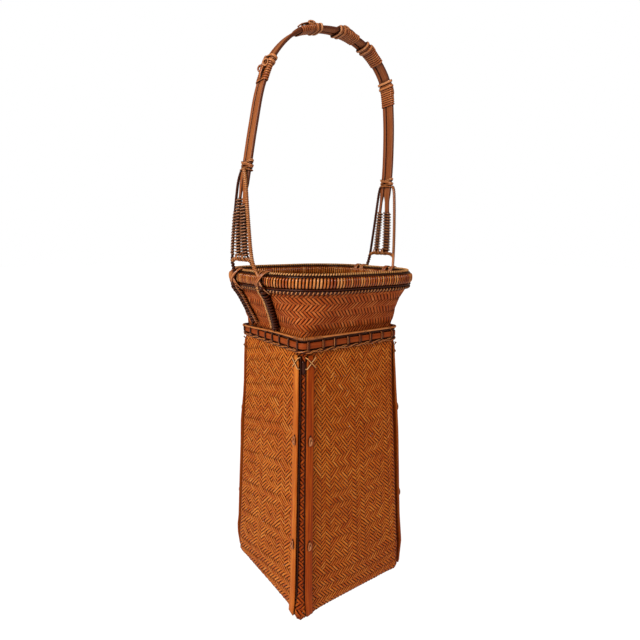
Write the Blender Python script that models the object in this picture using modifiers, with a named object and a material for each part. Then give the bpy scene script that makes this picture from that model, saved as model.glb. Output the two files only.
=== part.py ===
import math
import bpy
import bmesh
from mathutils import Vector, Matrix

# Ikebana basket: a square woven bamboo body, a flared woven neck and a lashed arch handle.
# Metres, +Z up, origin on the floor under the middle of the body.
# The handle arches over the X axis. Left is -X, right is +X, front is -Y and back is +Y.

# Fits
fit = 0.0003
run_past = 0.004
merge_reach = 0.00002

# Woven body
body_height = 0.262
belly_half = 0.0634
body_wall = 0.0016
body_corner_share = 0.085
body_row_shares = (
    (0.0, 0.952), (0.02, 0.983), (0.11, 1.0), (0.3, 0.967),
    (0.55, 0.926), (0.75, 0.887), (0.92, 0.867), (1.0, 0.863))
corner_steps = 3

# Woven neck, from the skirt inside the body up to the rim
neck_rise = 0.0515
mouth_half = 0.0742
mouth_corner_share = 0.66
skirt_depth = 0.012
neck_wall = 0.0016
neck_row_shares = (
    (0.07, 0.0, 0.085), (0.175, 0.17, 0.22), (0.35, 0.43, 0.47),
    (0.544, 0.70, 0.61), (0.70, 0.915, 0.64), (0.81, 1.0, 0.66), (1.0, 1.0, 0.66))

# Shoulder band, hoop and lashing
band_height = 0.007
band_thickness = 0.0012
band_drop = 0.0027
hoop_radius = 0.0013
tie_radius = 0.0006
tie_count = 32
tie_overhang = 0.0013

# Four flat strips, one on each face, with their stitches
strip_width = 0.0075
strip_thickness = 0.0022
strip_inset = 0.0038
strip_foot = 0.002
strip_drop = 0.0155
strip_slot_width = 0.0022
strip_slot_height = 0.0044
knot_radius = 0.00075
knot_leg_share = 0.25
knot_reach = 0.0044
knot_half_width = 0.0018
knot_turn_shares = (0.75, 0.6, 0.8, 1.2)
knot_height_shares = {
    "front": (0.649, 0.277),
    "left": (0.649, 0.277),
    "right": (0.674, 0.318),
    "back": (0.632, 0.267)}
cross_half_width = 0.0056
cross_drop = 0.0005
cross_height = 0.0115
cross_radius = 0.0006
strand_gap = 0.00045

# Rim
rim_hoop_thickness = 0.002
rim_hoop_height = 0.0082
binding_wall = 0.0012
binding_height = 0.0103
binding_rounding = 0.0011
twining_radius = 0.0015
top_strand_radius = 0.0012
rim_steps = 6

# Handle arch, through the middle of its thickness
arch_span = 0.0896
arch_foot_lift = 0.015
arch_rise = 0.205
arch_shares = (
    (-0.915, 0.0), (-0.918, 0.09), (-0.908, 0.185), (-0.885, 0.28), (-0.846, 0.375),
    (-0.770, 0.547), (-0.686, 0.703), (-0.547, 0.837), (-0.301, 0.944), (0.022, 0.993),
    (0.335, 1.0), (0.603, 0.966), (0.815, 0.900), (0.943, 0.810), (0.990, 0.664),
    (1.0, 0.508), (0.990, 0.38), (0.958, 0.24), (0.938, 0.12), (0.920, 0.0))
arch_steps = 6
front_width = 0.0086
back_width = 0.0044
strip_parting = 0.0012
handle_thickness = 0.003
leg_share = 0.68
splay_top_share = 0.30
leg_top_share = 0.27
splay_power = 1.6
foot_places = {
    ("left", "front"): -0.0052, ("left", "back"): 0.0072,
    ("right", "front"): -0.0080, ("right", "back"): 0.0067}

# Rattan windings on the handle
wind_radius = 0.001
wind_pitch = 0.0031
knot_turns = 8
knot_place_shares = (0.3204, 0.4429, 0.5292, 0.5949, 0.678)
cross_turns = 3
cross_place_shares = (0.1535, 0.8542)
leg_wind_radius = 0.0007
leg_wind_pitch = 0.0036
leg_wind_turns = 12
wind_corner_share = 0.7

# Rods from the handle down over the rim to the shoulder, and the yokes between them
rod_radius = 0.0014
rod_reach = 0.022
rod_mid_lift = 0.030
rod_neck_shares = (0.6, 0.2)
rod_side_shares = {
    ("left", "front"): (-0.41, -0.43, -0.57, -0.80, -1.05, -1.35, -1.20, -0.74, -0.50),
    ("left", "back"): (0.41, 0.56, 0.68, 0.92, 0.98, 1.08, 1.18, 1.30, 1.34),
    ("right", "front"): (-0.44, -0.60, -0.80, -0.90, -1.02, -1.18, -1.16, -1.0, -0.92),
    ("right", "back"): (0.41, 0.48, 0.60, 0.78, 0.88, 1.06, 1.08, 0.96, 0.90)}
rod_steps = 3
yoke_radius = 0.0016
yoke_sag = 0.002
yoke_flat_share = 0.7
lash_radius = 0.0008
lash_past_share = 1.5

# Bamboo water tube that stands loose in the body
tube_radius = 0.030
tube_wall = 0.003
tube_height = 0.190
tube_floor = 0.005
tube_sides = 28

# Colours as seen in the photo, linear red, green and blue
tan_weave = (0.42, 0.17, 0.045)
red_weave = (0.30, 0.10, 0.028)
tan_bamboo = (0.50, 0.22, 0.07)
pale_rattan = (0.72, 0.42, 0.19)
brown_rattan = (0.33, 0.13, 0.05)

sides = {"right": 0, "back": 90, "left": 180, "front": 270}


def clear_scene():
    for old in list(bpy.data.objects):
        bpy.data.objects.remove(old, do_unlink=True)


def make_collection(name):
    made = bpy.data.collections.new(name)
    bpy.context.scene.collection.children.link(made)
    return made


def finish(made, colour, roughness):
    made.data.materials.clear()
    skin = bpy.data.materials.new(made.name)
    skin.use_nodes = True
    shader = skin.node_tree.nodes["Principled BSDF"]
    shader.inputs["Base Color"].default_value = (*colour, 1)
    shader.inputs["Roughness"].default_value = roughness
    shader.inputs["Metallic"].default_value = 0
    made.data.materials.append(skin)
    return made


def add_object(name, data, collection):
    made = bpy.data.objects.new(name, data)
    collection.objects.link(made)
    return made


def mesh_object(name, mesh_build, collection):
    data = bpy.data.meshes.new(name)
    bmesh.ops.recalc_face_normals(mesh_build, faces=mesh_build.faces)
    mesh_build.to_mesh(data)
    mesh_build.free()
    return add_object(name, data, collection)


def bake_curve(made):
    # A flat-section curve becomes one closed mesh, so that its caps join and a Boolean can cut it
    name = made.name
    graph = bpy.context.evaluated_depsgraph_get()
    data = bpy.data.meshes.new_from_object(made.evaluated_get(graph), depsgraph=graph)
    build = bmesh.new()
    build.from_mesh(data)
    bmesh.ops.remove_doubles(build, verts=build.verts, dist=merge_reach)
    bmesh.ops.recalc_face_normals(build, faces=build.faces)
    build.to_mesh(data)
    build.free()
    place = made.matrix_world.copy()
    home = made.users_collection[0]
    curve = made.data
    profile = curve.bevel_object
    bpy.data.objects.remove(made, do_unlink=True)
    bpy.data.curves.remove(curve)
    if profile:
        bpy.data.curves.remove(profile.data)
    data.name = name
    solid = add_object(name, data, home)
    solid.matrix_world = place
    return solid


def cut(solid, cutter):
    change = solid.modifiers.new("cut_" + cutter.name, "BOOLEAN")
    change.operation = "DIFFERENCE"
    change.solver = "EXACT"
    change.object = cutter
    cutter.hide_render = True
    cutter.display_type = "WIRE"


# Rounded square sections, counter-clockwise from the right-hand side

def section(half, corner, height, steps):
    points = []
    first = Vector((half - corner, half - corner, 0))
    for quarter in range(4):
        centre = Matrix.Rotation(math.radians(90 * quarter), 3, "Z") @ first
        for step in range(steps + 1):
            angle = math.radians(90 * quarter + 90 * step / steps)
            arm = Vector((math.cos(angle), math.sin(angle), 0)) * corner
            points.append(centre + arm + Vector((0, 0, height)))
    return points


def between(rows, height):
    # Row values at a height, between the two nearest rows
    for low, high in zip(rows, rows[1:]):
        if height <= high[0]:
            break
    share = min(max((height - low[0]) / (high[0] - low[0]), 0), 1)
    return [a + (b - a) * share for a, b in zip(low, high)]


body_rows = [
    (level * body_height, wide * belly_half, wide * belly_half * body_corner_share)
    for level, wide in body_row_shares]
body_top_half = body_rows[-1][1]
body_top_corner = body_rows[-1][2]
skirt_half = body_top_half - body_wall - fit
skirt_corner = body_top_corner - body_wall - fit
neck_rows = [(body_height - skirt_depth, skirt_half, skirt_corner)]
for level, wide, round_share in neck_row_shares:
    row_half = skirt_half + wide * (mouth_half - skirt_half)
    neck_rows.append((body_height + level * neck_rise, row_half, max(row_half * round_share, skirt_corner)))
neck_top = body_height + neck_rise
mouth_corner = mouth_half * mouth_corner_share
strip_top = body_height - strip_drop


def body_half_at(height):
    return between(body_rows, height)[1]


def neck_half_at(height):
    return between(neck_rows, height)[1]


def lofted_shell(name, rows, wall, floored, steps, collection):
    build = bmesh.new()
    rings = []
    for height, half, corner in rows:
        rings.append([build.verts.new(point) for point in section(half, corner, height, steps)])
    count = len(rings[0])
    for low, high in zip(rings, rings[1:]):
        for step in range(count):
            after = (step + 1) % count
            build.faces.new((low[step], low[after], high[after], high[step]))
    if floored:
        build.faces.new(reversed(rings[0]))
    made = mesh_object(name, build, collection)
    thick = made.modifiers.new("wall", "SOLIDIFY")
    thick.thickness = wall
    thick.offset = -1
    thick.use_even_offset = True
    return made


def make_body(collection):
    body = lofted_shell("woven_body", body_rows, body_wall, True, corner_steps, collection)
    finish(body, tan_weave, 0.5)
    neck = lofted_shell("woven_neck", neck_rows, neck_wall, False, rim_steps, collection)
    finish(neck, red_weave, 0.5)


# Strands and flat hoops

def curve_object(name, points, closed, collection):
    data = bpy.data.curves.new(name, "CURVE")
    data.dimensions = "3D"
    data.twist_mode = "MINIMUM"
    line = data.splines.new("POLY")
    line.points.add(len(points) - 1)
    for place, point in zip(line.points, points):
        place.co = (*point, 1)
    line.use_cyclic_u = closed
    data.render_resolution_u = 0
    return add_object(name, data, collection)


def strand(name, points, radius, closed, fineness, collection):
    made = curve_object(name, points, closed, collection)
    made.data.bevel_depth = radius
    made.data.bevel_resolution = fineness
    made.data.use_fill_caps = not closed
    made.data.splines[0].use_smooth = True
    return made


def flat_ring(name, inner, outer, low, high, rounding, collection):
    # inner and outer are (half width, corner radius, corner steps)
    data = bpy.data.curves.new(name, "CURVE")
    data.dimensions = "2D"
    data.fill_mode = "BOTH"
    data.extrude = (high - low) / 2 - rounding
    data.bevel_depth = rounding
    data.bevel_resolution = 1
    data.offset = -rounding
    data.render_resolution_u = 0
    for half, corner, steps in (outer, inner):
        points = section(half, corner, 0, steps)
        line = data.splines.new("POLY")
        line.points.add(len(points) - 1)
        for place, point in zip(line.points, points):
            place.co = (*point, 1)
        line.use_cyclic_u = True
    made = add_object(name, data, collection)
    made.location.z = (low + high) / 2
    bpy.context.view_layer.update()
    return bake_curve(made)


def make_shoulder(collection):
    band_top = body_height - band_drop
    band_low = band_top - band_height
    inner_half = body_half_at(band_low) + fit
    inner_corner = body_top_corner + fit
    outer_half = inner_half + band_thickness
    outer_corner = inner_corner + band_thickness
    band = flat_ring(
        "shoulder_band", (inner_half, inner_corner, corner_steps),
        (outer_half, outer_corner, corner_steps), band_low, band_top, 0, collection)
    finish(band, tan_bamboo, 0.4)
    hoop_half = skirt_half + fit + hoop_radius
    hoop_corner = skirt_corner + fit + hoop_radius
    hoop_height = body_height + fit + hoop_radius
    hoop = strand(
        "shoulder_hoop", section(hoop_half, hoop_corner, hoop_height, corner_steps),
        hoop_radius, True, 1, collection)
    finish(hoop, pale_rattan, 0.4)
    make_ties(outer_half, outer_corner, band_low, band_top, collection)


def make_ties(half, corner, low, high, collection):
    # One endless strand that runs down over the band, along under it, up over it and along above
    reach = fit + tie_radius
    track = section(half + reach, corner + reach, 0, corner_steps)
    loop = [*track, track[0]]
    lengths = [0]
    for start, end in zip(loop, loop[1:]):
        lengths.append(lengths[-1] + (end - start).length)
    pitch = lengths[-1] / tie_count
    points = []
    at_top = True
    for tie in range(tie_count):
        here = (tie + 0.5) * pitch
        spot = along(loop, lengths, here)
        levels = (high + tie_overhang, low - tie_overhang)
        if not at_top:
            levels = (levels[1], levels[0])
        for level in levels:
            points.append(Vector((spot.x, spot.y, level)))
        at_top = not at_top
        for length, place in zip(lengths, loop):
            if here < length < min(here + pitch, lengths[-1]):
                points.append(Vector((place.x, place.y, levels[1])))
    strand_made = strand("shoulder_lashing", points, tie_radius, True, 0, collection)
    finish(strand_made, pale_rattan, 0.45)


def along(line, lengths, distance):
    for start, end, low, high in zip(line, line[1:], lengths, lengths[1:]):
        if distance <= high:
            break
    return start.lerp(end, (distance - low) / (high - low))


# Flat strips, drawn in their own XY plane with the flat side's width along Z

def ribbon(name, points, width, thickness, shares, collection, profiles):
    outline = bpy.data.curves.new(name + "_section", "CURVE")
    outline.dimensions = "2D"
    outline.fill_mode = "NONE"
    line = outline.splines.new("POLY")
    line.points.add(3)
    corners = ((-1, -1), (1, -1), (1, 1), (-1, 1))
    for place, (across, up) in zip(line.points, corners):
        place.co = (across * thickness / 2, up * width / 2, 0, 1)
    line.use_cyclic_u = True
    profile = add_object(name + "_section", outline, profiles)
    profile.hide_render = True
    profile.display_type = "WIRE"
    made = curve_object(name, points, False, collection)
    made.data.twist_mode = "Z_UP"
    made.data.bevel_mode = "OBJECT"
    made.data.bevel_object = profile
    made.data.use_fill_caps = True
    for place, share in zip(made.data.splines[0].points, shares):
        place.radius = share
    return made


def face_frame(side):
    # Columns: outward, up, and along the face to its right as seen from outside
    turn = Matrix.Rotation(math.radians(sides[side]), 4, "Z")
    stand = Matrix(((1, 0, 0, 0), (0, 0, -1, 0), (0, 1, 0, 0), (0, 0, 0, 1)))
    return turn @ stand


def face_point(side, outward, up, aside):
    return face_frame(side) @ Vector((outward, up, aside))


def strip_aside(height):
    return body_half_at(height) - strip_inset - strip_width / 2


def strip_outward(height):
    return body_half_at(height) + fit + strip_thickness / 2


# The end of each face where its strip runs, and the sign of the way there in the face's own frame
face_strips = {
    "front": ("left", 1),
    "left": ("front", -1),
    "right": ("front", 1),
    "back": ("left", -1)}


def make_strip(side, collection, cutters):
    end, sign = face_strips[side]
    rows = [strip_foot, *[row[0] for row in body_rows if strip_foot < row[0] < strip_top], strip_top]
    points = [Vector((strip_outward(height), height, sign * strip_aside(height))) for height in rows]
    name = "strip_" + side + "_face_" + end
    made = ribbon(name, points, strip_width, strip_thickness, [1] * len(rows), collection, cutters)
    made.matrix_world = face_frame(side)
    bpy.context.view_layer.update()
    solid = bake_curve(made)
    heights = [share * body_height for share in knot_height_shares[side]]
    for label, height in zip(("upper", "lower"), heights):
        cut(solid, slot_cutter(side, sign, height, name + "_" + label + "_slot", cutters))
        make_stitch(side, sign, height, label + "_knot_" + side + "_" + end, collection)
    finish(solid, tan_bamboo, 0.35)


def slot_cutter(side, sign, height, name, cutters):
    build = bmesh.new()
    bmesh.ops.create_cube(build, size=1)
    size = Vector((strip_thickness + 2 * run_past, strip_slot_height, strip_slot_width))
    bmesh.ops.scale(build, vec=size, verts=build.verts)
    made = mesh_object(name, build, cutters)
    middle = Vector((strip_outward(height), height, sign * strip_aside(height)))
    made.matrix_world = face_frame(side) @ Matrix.Translation(middle)
    return made


def make_stitch(side, sign, height, name, collection):
    # In through the slot, a round turn outside, and back through the slot
    skin = body_half_at(height) + fit
    foot = skin + fit
    outside = skin + strip_thickness + fit + knot_radius
    leg = knot_leg_share * strip_slot_height
    wide = knot_half_width
    tall = knot_reach
    end_up, side_up, end_aside, side_aside = knot_turn_shares
    shape = (
        (foot, -leg, 0), (outside, -leg, 0), (outside, -end_up * tall, -end_aside * wide),
        (outside, -tall, 0), (outside, -side_up * tall, wide), (outside, 0, side_aside * wide),
        (outside, side_up * tall, wide), (outside, tall, 0), (outside, end_up * tall, -end_aside * wide),
        (outside, leg, 0), (foot, leg, 0))
    middle = sign * strip_aside(height)
    points = [face_point(side, out, height + up, middle + sign * aside) for out, up, aside in shape]
    made = strand(name, points, knot_radius, False, 0, collection)
    finish(made, pale_rattan, 0.3)


def cross_points(side, sign, level_high, level_low, first_end):
    # Two crossing strokes over a strip's top: the second lies over the first
    middle = sign * strip_aside(level_high)
    near = strip_outward(level_low) + strip_thickness / 2 + fit + cross_radius
    far = near + 2 * cross_radius + strand_gap
    wide = cross_half_width
    order = first_end
    return [
        face_point(side, near, level_low, middle + order * wide),
        face_point(side, near, level_high, middle - order * wide),
        face_point(side, (near + far) / 2, level_high + 2 * cross_radius, middle),
        face_point(side, far, level_high, middle + order * wide),
        face_point(side, far, level_low, middle - order * wide)]


def make_crosses(collection):
    # One strand crosses both strips of the corner where two meet, each other strip has its own
    high = strip_top - cross_drop
    low = high - cross_height
    crosses = {}
    for side, (end, sign) in face_strips.items():
        crosses[side] = cross_points(side, sign, high, low, -sign)
    sign = face_strips["front"][1]
    other_sign = face_strips["left"][1]
    turn = corner_turn("front", sign, "left", other_sign, low)
    paths = {
        "front_left": crosses["front"] + turn + crosses["left"][::-1],
        "front_right": crosses["right"],
        "back_left": crosses["back"]}
    for corner, points in paths.items():
        made = strand("cross_stitch_" + corner, points, cross_radius, False, 0, collection)
        finish(made, pale_rattan, 0.35)


def corner_turn(side, sign, other, other_sign, height):
    reach = strip_outward(height) + strip_thickness / 2 + fit + 3 * cross_radius + strand_gap
    edge = body_half_at(height) - fit
    return [
        face_point(side, reach, height, sign * edge),
        face_point(other, reach, height, other_sign * edge)]


def make_corners(collection, cutters):
    for side in face_strips:
        make_strip(side, collection, cutters)
    make_crosses(collection)


# Rim

rim_low = neck_top + fit - (binding_height - binding_wall)
rim_top = rim_low + binding_height
arch_foot_height = rim_top + arch_foot_lift
binding_outer = mouth_half + 2 * fit + rim_hoop_thickness + binding_wall
binding_inner = mouth_half - neck_wall - 2 * fit - rim_hoop_thickness - binding_wall
twining_height = rim_low - fit - twining_radius
twining_outer = mouth_half + fit + 2 * twining_radius


def mouth_ring(offset, steps):
    return (mouth_half + offset, mouth_corner + offset, steps)


def make_rim(collection, cutters):
    hoop_top = neck_top
    hoop_low = hoop_top - rim_hoop_height
    outer = flat_ring(
        "rim_outer_hoop", mouth_ring(fit, rim_steps), mouth_ring(fit + rim_hoop_thickness, rim_steps),
        hoop_low, hoop_top, 0, collection)
    finish(outer, tan_bamboo, 0.5)
    inside = -neck_wall - fit
    inner = flat_ring(
        "rim_inner_hoop", mouth_ring(inside - rim_hoop_thickness, rim_steps), mouth_ring(inside, rim_steps),
        hoop_low, hoop_top, 0, collection)
    finish(inner, tan_bamboo, 0.5)
    binding = flat_ring(
        "rim_binding", mouth_ring(binding_inner - mouth_half, rim_steps),
        mouth_ring(binding_outer - mouth_half, rim_steps), rim_low, rim_top, binding_rounding, collection)
    channel = flat_ring(
        "rim_channel", mouth_ring(binding_inner + binding_wall - mouth_half, rim_steps),
        mouth_ring(binding_outer - binding_wall - mouth_half, rim_steps),
        rim_low - run_past, rim_top - binding_wall, 0, cutters)
    cut(binding, channel)
    finish(binding, brown_rattan, 0.4)
    half, corner, steps = mouth_ring(fit + twining_radius, rim_steps)
    ring = section(half, corner, twining_height, steps)
    twining = strand("rim_twining", ring, twining_radius, True, 1, collection)
    finish(twining, pale_rattan, 0.4)
    half, corner, steps = mouth_ring(rim_hoop_thickness / 2, rim_steps)
    strand_height = rim_top + fit + top_strand_radius
    ring = section(half, corner, strand_height, steps)
    top = strand("rim_top_strand", ring, top_strand_radius, True, 1, collection)
    finish(top, pale_rattan, 0.4)


# Handle arch

def spline_through(points, steps):
    # Smooth line through the points, at a steady number of steps between each two
    line = []
    last = len(points) - 1
    for step in range(last):
        before = points[max(step - 1, 0)]
        start = points[step]
        end = points[step + 1]
        after = points[min(step + 2, last)]
        for part in range(steps):
            t = part / steps
            line.append(0.5 * (
                2 * start + (end - before) * t + (2 * before - 5 * start + 4 * end - after) * t ** 2
                + (3 * start - before - 3 * end + after) * t ** 3))
    line.append(points[last])
    return line


arch_line = spline_through(
    [Vector((x * arch_span, 0, arch_foot_height + z * arch_rise)) for x, z in arch_shares], arch_steps)
arch_lengths = [0]
for arch_start, arch_end in zip(arch_line, arch_line[1:]):
    arch_lengths.append(arch_lengths[-1] + (arch_end - arch_start).length)
arch_length = arch_lengths[-1]
apex_height = arch_foot_height + splay_top_share * arch_rise
leg_height = arch_foot_height + leg_top_share * arch_rise


def arch_at(distance):
    # Point, way along and way outward at a distance along the arch from its left foot
    point = along(arch_line, arch_lengths, distance)
    ahead = along(arch_line, arch_lengths, min(distance + wind_pitch, arch_length))
    behind = along(arch_line, arch_lengths, max(distance - wind_pitch, 0))
    forward = (ahead - behind).normalized()
    outward = Vector((-forward.z, 0, forward.x))
    return point, forward, outward


def leg_distance(side, height):
    # Distance along the arch at which a leg passes a height
    if side == "left":
        pairs = list(zip(arch_line, arch_lengths))
    else:
        pairs = list(zip(reversed(arch_line), reversed(arch_lengths)))
    for (low, start), (high, end) in zip(pairs, pairs[1:]):
        if high.z >= height:
            break
    return start + (end - start) * (height - low.z) / (high.z - low.z)


def strip_place(strip):
    # Middle of the front or back strip where the two run side by side
    whole = front_width + strip_parting + back_width
    if strip == "front":
        return -(whole - front_width) / 2
    return (whole - back_width) / 2


def strip_across(strip, side, height):
    parted = min(max((apex_height - height) / (apex_height - arch_foot_height), 0), 1)
    spread = 1 - (1 - parted) ** splay_power
    near = strip_place(strip)
    return near + (foot_places[(side, strip)] - near) * spread


def leg_scale(height):
    narrowed = min(max((apex_height - height) / (apex_height - leg_height), 0), 1)
    return 1 - (1 - leg_share) * narrowed


def make_handle_strips(collection, cutters):
    places = arch_line[::2]
    if places[-1] is not arch_line[-1]:
        places.append(arch_line[-1])
    for strip, width in (("front", front_width), ("back", back_width)):
        points = []
        shares = []
        for place in places:
            side = "left" if place.x < 0 else "right"
            points.append(Vector((place.x, place.z, -strip_across(strip, side, place.z))))
            shares.append(leg_scale(place.z))
        made = ribbon(
            "handle_" + strip + "_strip", points, width, handle_thickness, shares, collection, cutters)
        made.rotation_euler.x = math.radians(90)
        bpy.context.view_layer.update()
        finish(bake_curve(made), tan_bamboo, 0.35)


def box_turn(half_width, half_depth, cut_corner):
    return (
        (half_width, cut_corner - half_depth), (half_width, half_depth - cut_corner),
        (half_width - cut_corner, half_depth), (cut_corner - half_width, half_depth),
        (-half_width, half_depth - cut_corner), (-half_width, cut_corner - half_depth),
        (cut_corner - half_width, -half_depth), (half_width - cut_corner, -half_depth))


def round_turn(radius, count):
    turns = []
    for step in range(count):
        angle = 2 * math.pi * step / count
        turns.append((radius * math.cos(angle), radius * math.sin(angle)))
    return tuple(turns)


def least_gap(points, radius, per_turn):
    # Least clear space between one turn and the next, measured from turn to turn
    least = None
    for first in range(len(points)):
        for second in range(first + per_turn - 1, min(first + per_turn + 2, len(points))):
            clear = (points[first] - points[second]).length - 2 * radius
            least = clear if least is None else min(least, clear)
    return least


def winding(name, shape, turns, pitch, radius, start, middle, colour, collection):
    # One unbroken strand wound round the arch; middle gives the core's place across the arch
    points = []
    count = turns * len(shape)
    for step in range(count + 1):
        across, outward_reach = shape[step % len(shape)]
        point, forward, outward = arch_at(start + pitch * step / len(shape))
        points.append(
            point + outward * outward_reach + Vector((0, middle(point) + across, 0)))
    gap = least_gap(points, radius, len(shape))
    print(name, "least gap to itself in millimetres", round(gap * 1000, 2))
    first_way = (points[0] - points[1]).normalized()
    last_way = (points[-1] - points[-2]).normalized()
    points.insert(0, points[0] + first_way * radius)
    points.append(points[-1] + last_way * radius)
    made = strand(name, points, radius, False, 1, collection)
    finish(made, colour, 0.35)
    return made


def make_handle_windings(collection):
    whole = front_width + strip_parting + back_width
    reach = fit + wind_radius
    corner = wind_corner_share * reach
    shape = box_turn(whole / 2 + reach, handle_thickness / 2 + reach, corner)
    for number, share in enumerate(knot_place_shares, 1):
        start = share * arch_length - knot_turns * wind_pitch / 2
        winding(
            "handle_knot_" + str(number), shape, knot_turns, wind_pitch, wind_radius, start,
            lambda point: 0, pale_rattan, collection)
    for side, share in zip(("left", "right"), cross_place_shares):
        start = share * arch_length - cross_turns * wind_pitch / 2
        winding(
            "cross_binding_" + side, shape, cross_turns, wind_pitch, wind_radius, start,
            lambda point: 0, pale_rattan, collection)
    reach = fit + leg_wind_radius
    front_shape = box_turn(
        leg_share * front_width / 2 + reach, leg_share * handle_thickness / 2 + reach,
        wind_corner_share * reach)
    back_corner = math.hypot(leg_share * back_width, leg_share * handle_thickness) / 2
    back_shape = round_turn((back_corner + reach) / math.cos(math.radians(30)), 6)
    length = leg_wind_turns * leg_wind_pitch
    for side in ("left", "right"):
        foot = leg_distance(side, arch_foot_height + 3 * leg_wind_radius)
        start = foot if side == "left" else foot - length
        for strip, shape in (("front", front_shape), ("back", back_shape)):
            winding(
                "leg_winding_" + side + "_" + strip, shape, leg_wind_turns, leg_wind_pitch,
                leg_wind_radius, start, lambda point: strip_across(strip, side, point.z),
                brown_rattan, collection)


# Rods, yokes and rim lashings

def leg_x(side, height):
    return along(arch_line, arch_lengths, leg_distance(side, height)).x


def binding_foot_height(side):
    share = cross_place_shares[0] if side == "left" else cross_place_shares[1]
    reach = cross_turns * wind_pitch / 2 + 2 * wind_radius + rod_radius
    distance = share * arch_length + (-reach if side == "left" else reach)
    return along(arch_line, arch_lengths, distance).z


yoke_height = arch_foot_height - fit - yoke_radius
rod_mid_height = arch_foot_height + rod_mid_lift


def rod_points(side, strip):
    outward = -1 if side == "left" else 1
    shares = rod_side_shares[(side, strip)]
    reach = fit + rod_radius
    hoop_clear = body_height + fit + 2 * hoop_radius + reach
    neck_high, neck_low = [body_height + share * neck_rise for share in rod_neck_shares]
    rows = (
        (binding_foot_height(side), leg_x(side, binding_foot_height(side))),
        (apex_height, leg_x(side, apex_height)),
        (rod_mid_height, leg_x(side, rod_mid_height)),
        (yoke_height, leg_x(side, arch_foot_height)),
        (rim_top, outward * (binding_outer + reach)),
        (twining_height, outward * (twining_outer + reach)),
        (neck_high, outward * (neck_half_at(neck_high) + reach + 2 * fit)),
        (neck_low, outward * (neck_half_at(neck_low) + reach + 2 * fit)),
        (hoop_clear, outward * (neck_half_at(hoop_clear) + reach + 2 * fit)))
    return [Vector((x, share * rod_reach, height)) for (height, x), share in zip(rows, shares)]


def make_rods(collection):
    for side in ("left", "right"):
        for strip in ("front", "back"):
            points = spline_through(rod_points(side, strip), rod_steps)
            made = strand("rod_" + side + "_" + strip, points, rod_radius, False, 1, collection)
            finish(made, brown_rattan, 0.4)
        make_yoke(side, collection)
        make_lashing(side, collection)


def make_yoke(side, collection):
    x = leg_x(side, arch_foot_height)
    clear = rod_radius + fit + yoke_radius
    front = rod_points(side, "front")[3].y + clear
    back = rod_points(side, "back")[3].y - clear
    low = yoke_height - yoke_sag
    points = [
        Vector((x, front, low)), Vector((x, front * yoke_flat_share, yoke_height)),
        Vector((x, 0, yoke_height)), Vector((x, back * yoke_flat_share, yoke_height)),
        Vector((x, back, low))]
    made = strand("yoke_" + side, points, yoke_radius, False, 1, collection)
    finish(made, pale_rattan, 0.35)


def rim_x(half, y):
    # How far out the rim's rounded square of this half width lies at a place along its side
    corner = mouth_corner + half - mouth_half
    past = max(abs(y) - (half - corner), 0)
    return half - corner + math.sqrt(corner ** 2 - past ** 2)


def make_lashing(side, collection):
    # Up inside the rim, over it beside one rod, across that rod, along to the other, and back inside
    outward = -1 if side == "left" else 1
    reach = fit + lash_radius
    over_rod = outward * (binding_outer + fit + 2 * rod_radius + 2 * reach)
    over = rim_top + 2 * fit + 2 * top_strand_radius + reach
    middle = (rim_low + rim_top) / 2
    beside = rod_radius + reach + fit
    facet_sag = mouth_corner * (1 - math.cos(math.radians(45 / rim_steps)))
    half_points = {}
    for strip, away in (("front", -1), ("back", 1)):
        rod = rod_points(side, strip)
        rod_y = (rod[4].y + rod[5].y) / 2
        outer_y = rod_y + away * 2 * beside
        inner_y = rod_y - away * beside * lash_past_share
        inside = outward * (rim_x(binding_inner, outer_y) - reach - facet_sag)
        outside = outward * (rim_x(binding_outer, outer_y) + reach + facet_sag)
        half_points[strip] = [
            Vector((inside, outer_y, middle)), Vector((inside, outer_y, over - reach)),
            Vector(((2 * inside + outside) / 3, outer_y, over)),
            Vector(((inside + 3 * outside) / 4, outer_y, over)),
            Vector((outside, outer_y, over - 2 * reach)),
            Vector((over_rod, rod_y + away * beside / 2, middle + reach)),
            Vector((over_rod, rod_y - away * beside / 2, middle)),
            Vector((outward * (rim_x(binding_outer, inner_y) + reach), inner_y, middle - reach))]
    points = half_points["front"] + half_points["back"][::-1]
    made = strand("rim_lashing_" + side, points, lash_radius, False, 1, collection)
    finish(made, pale_rattan, 0.35)


# Water tube

def make_tube(collection):
    build = bmesh.new()
    seat = body_wall + fit
    profile = (
        (0, tube_floor), (tube_radius - tube_wall, tube_floor), (tube_radius - tube_wall, tube_height),
        (tube_radius, tube_height), (tube_radius, 0), (0, 0))
    dots = [build.verts.new((x, 0, z)) for x, z in profile]
    for start, end in zip(dots, dots[1:]):
        build.edges.new((start, end))
    data = bpy.data.meshes.new("water_tube")
    build.to_mesh(data)
    build.free()
    made = add_object("water_tube", data, collection)
    made.location.z = seat
    turn = made.modifiers.new("turn", "SCREW")
    turn.steps = tube_sides
    turn.render_steps = tube_sides
    turn.use_merge_vertices = True
    turn.merge_threshold = merge_reach
    finish(made, tan_bamboo, 0.5)


def main():
    clear_scene()
    basket = make_collection("ikebana_basket")
    cutters = make_collection("cutters_and_sections")
    make_body(basket)
    make_shoulder(basket)
    make_corners(basket, cutters)
    make_rim(basket, cutters)
    make_handle_strips(basket, cutters)
    make_handle_windings(basket)
    make_rods(basket)
    make_tube(basket)
    print("arch length in millimetres", round(arch_length * 1000, 1))
    print("objects", len(basket.objects))


main()
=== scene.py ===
import math
import bpy
import bmesh
import numpy as np
from mathutils import Matrix, Vector


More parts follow.
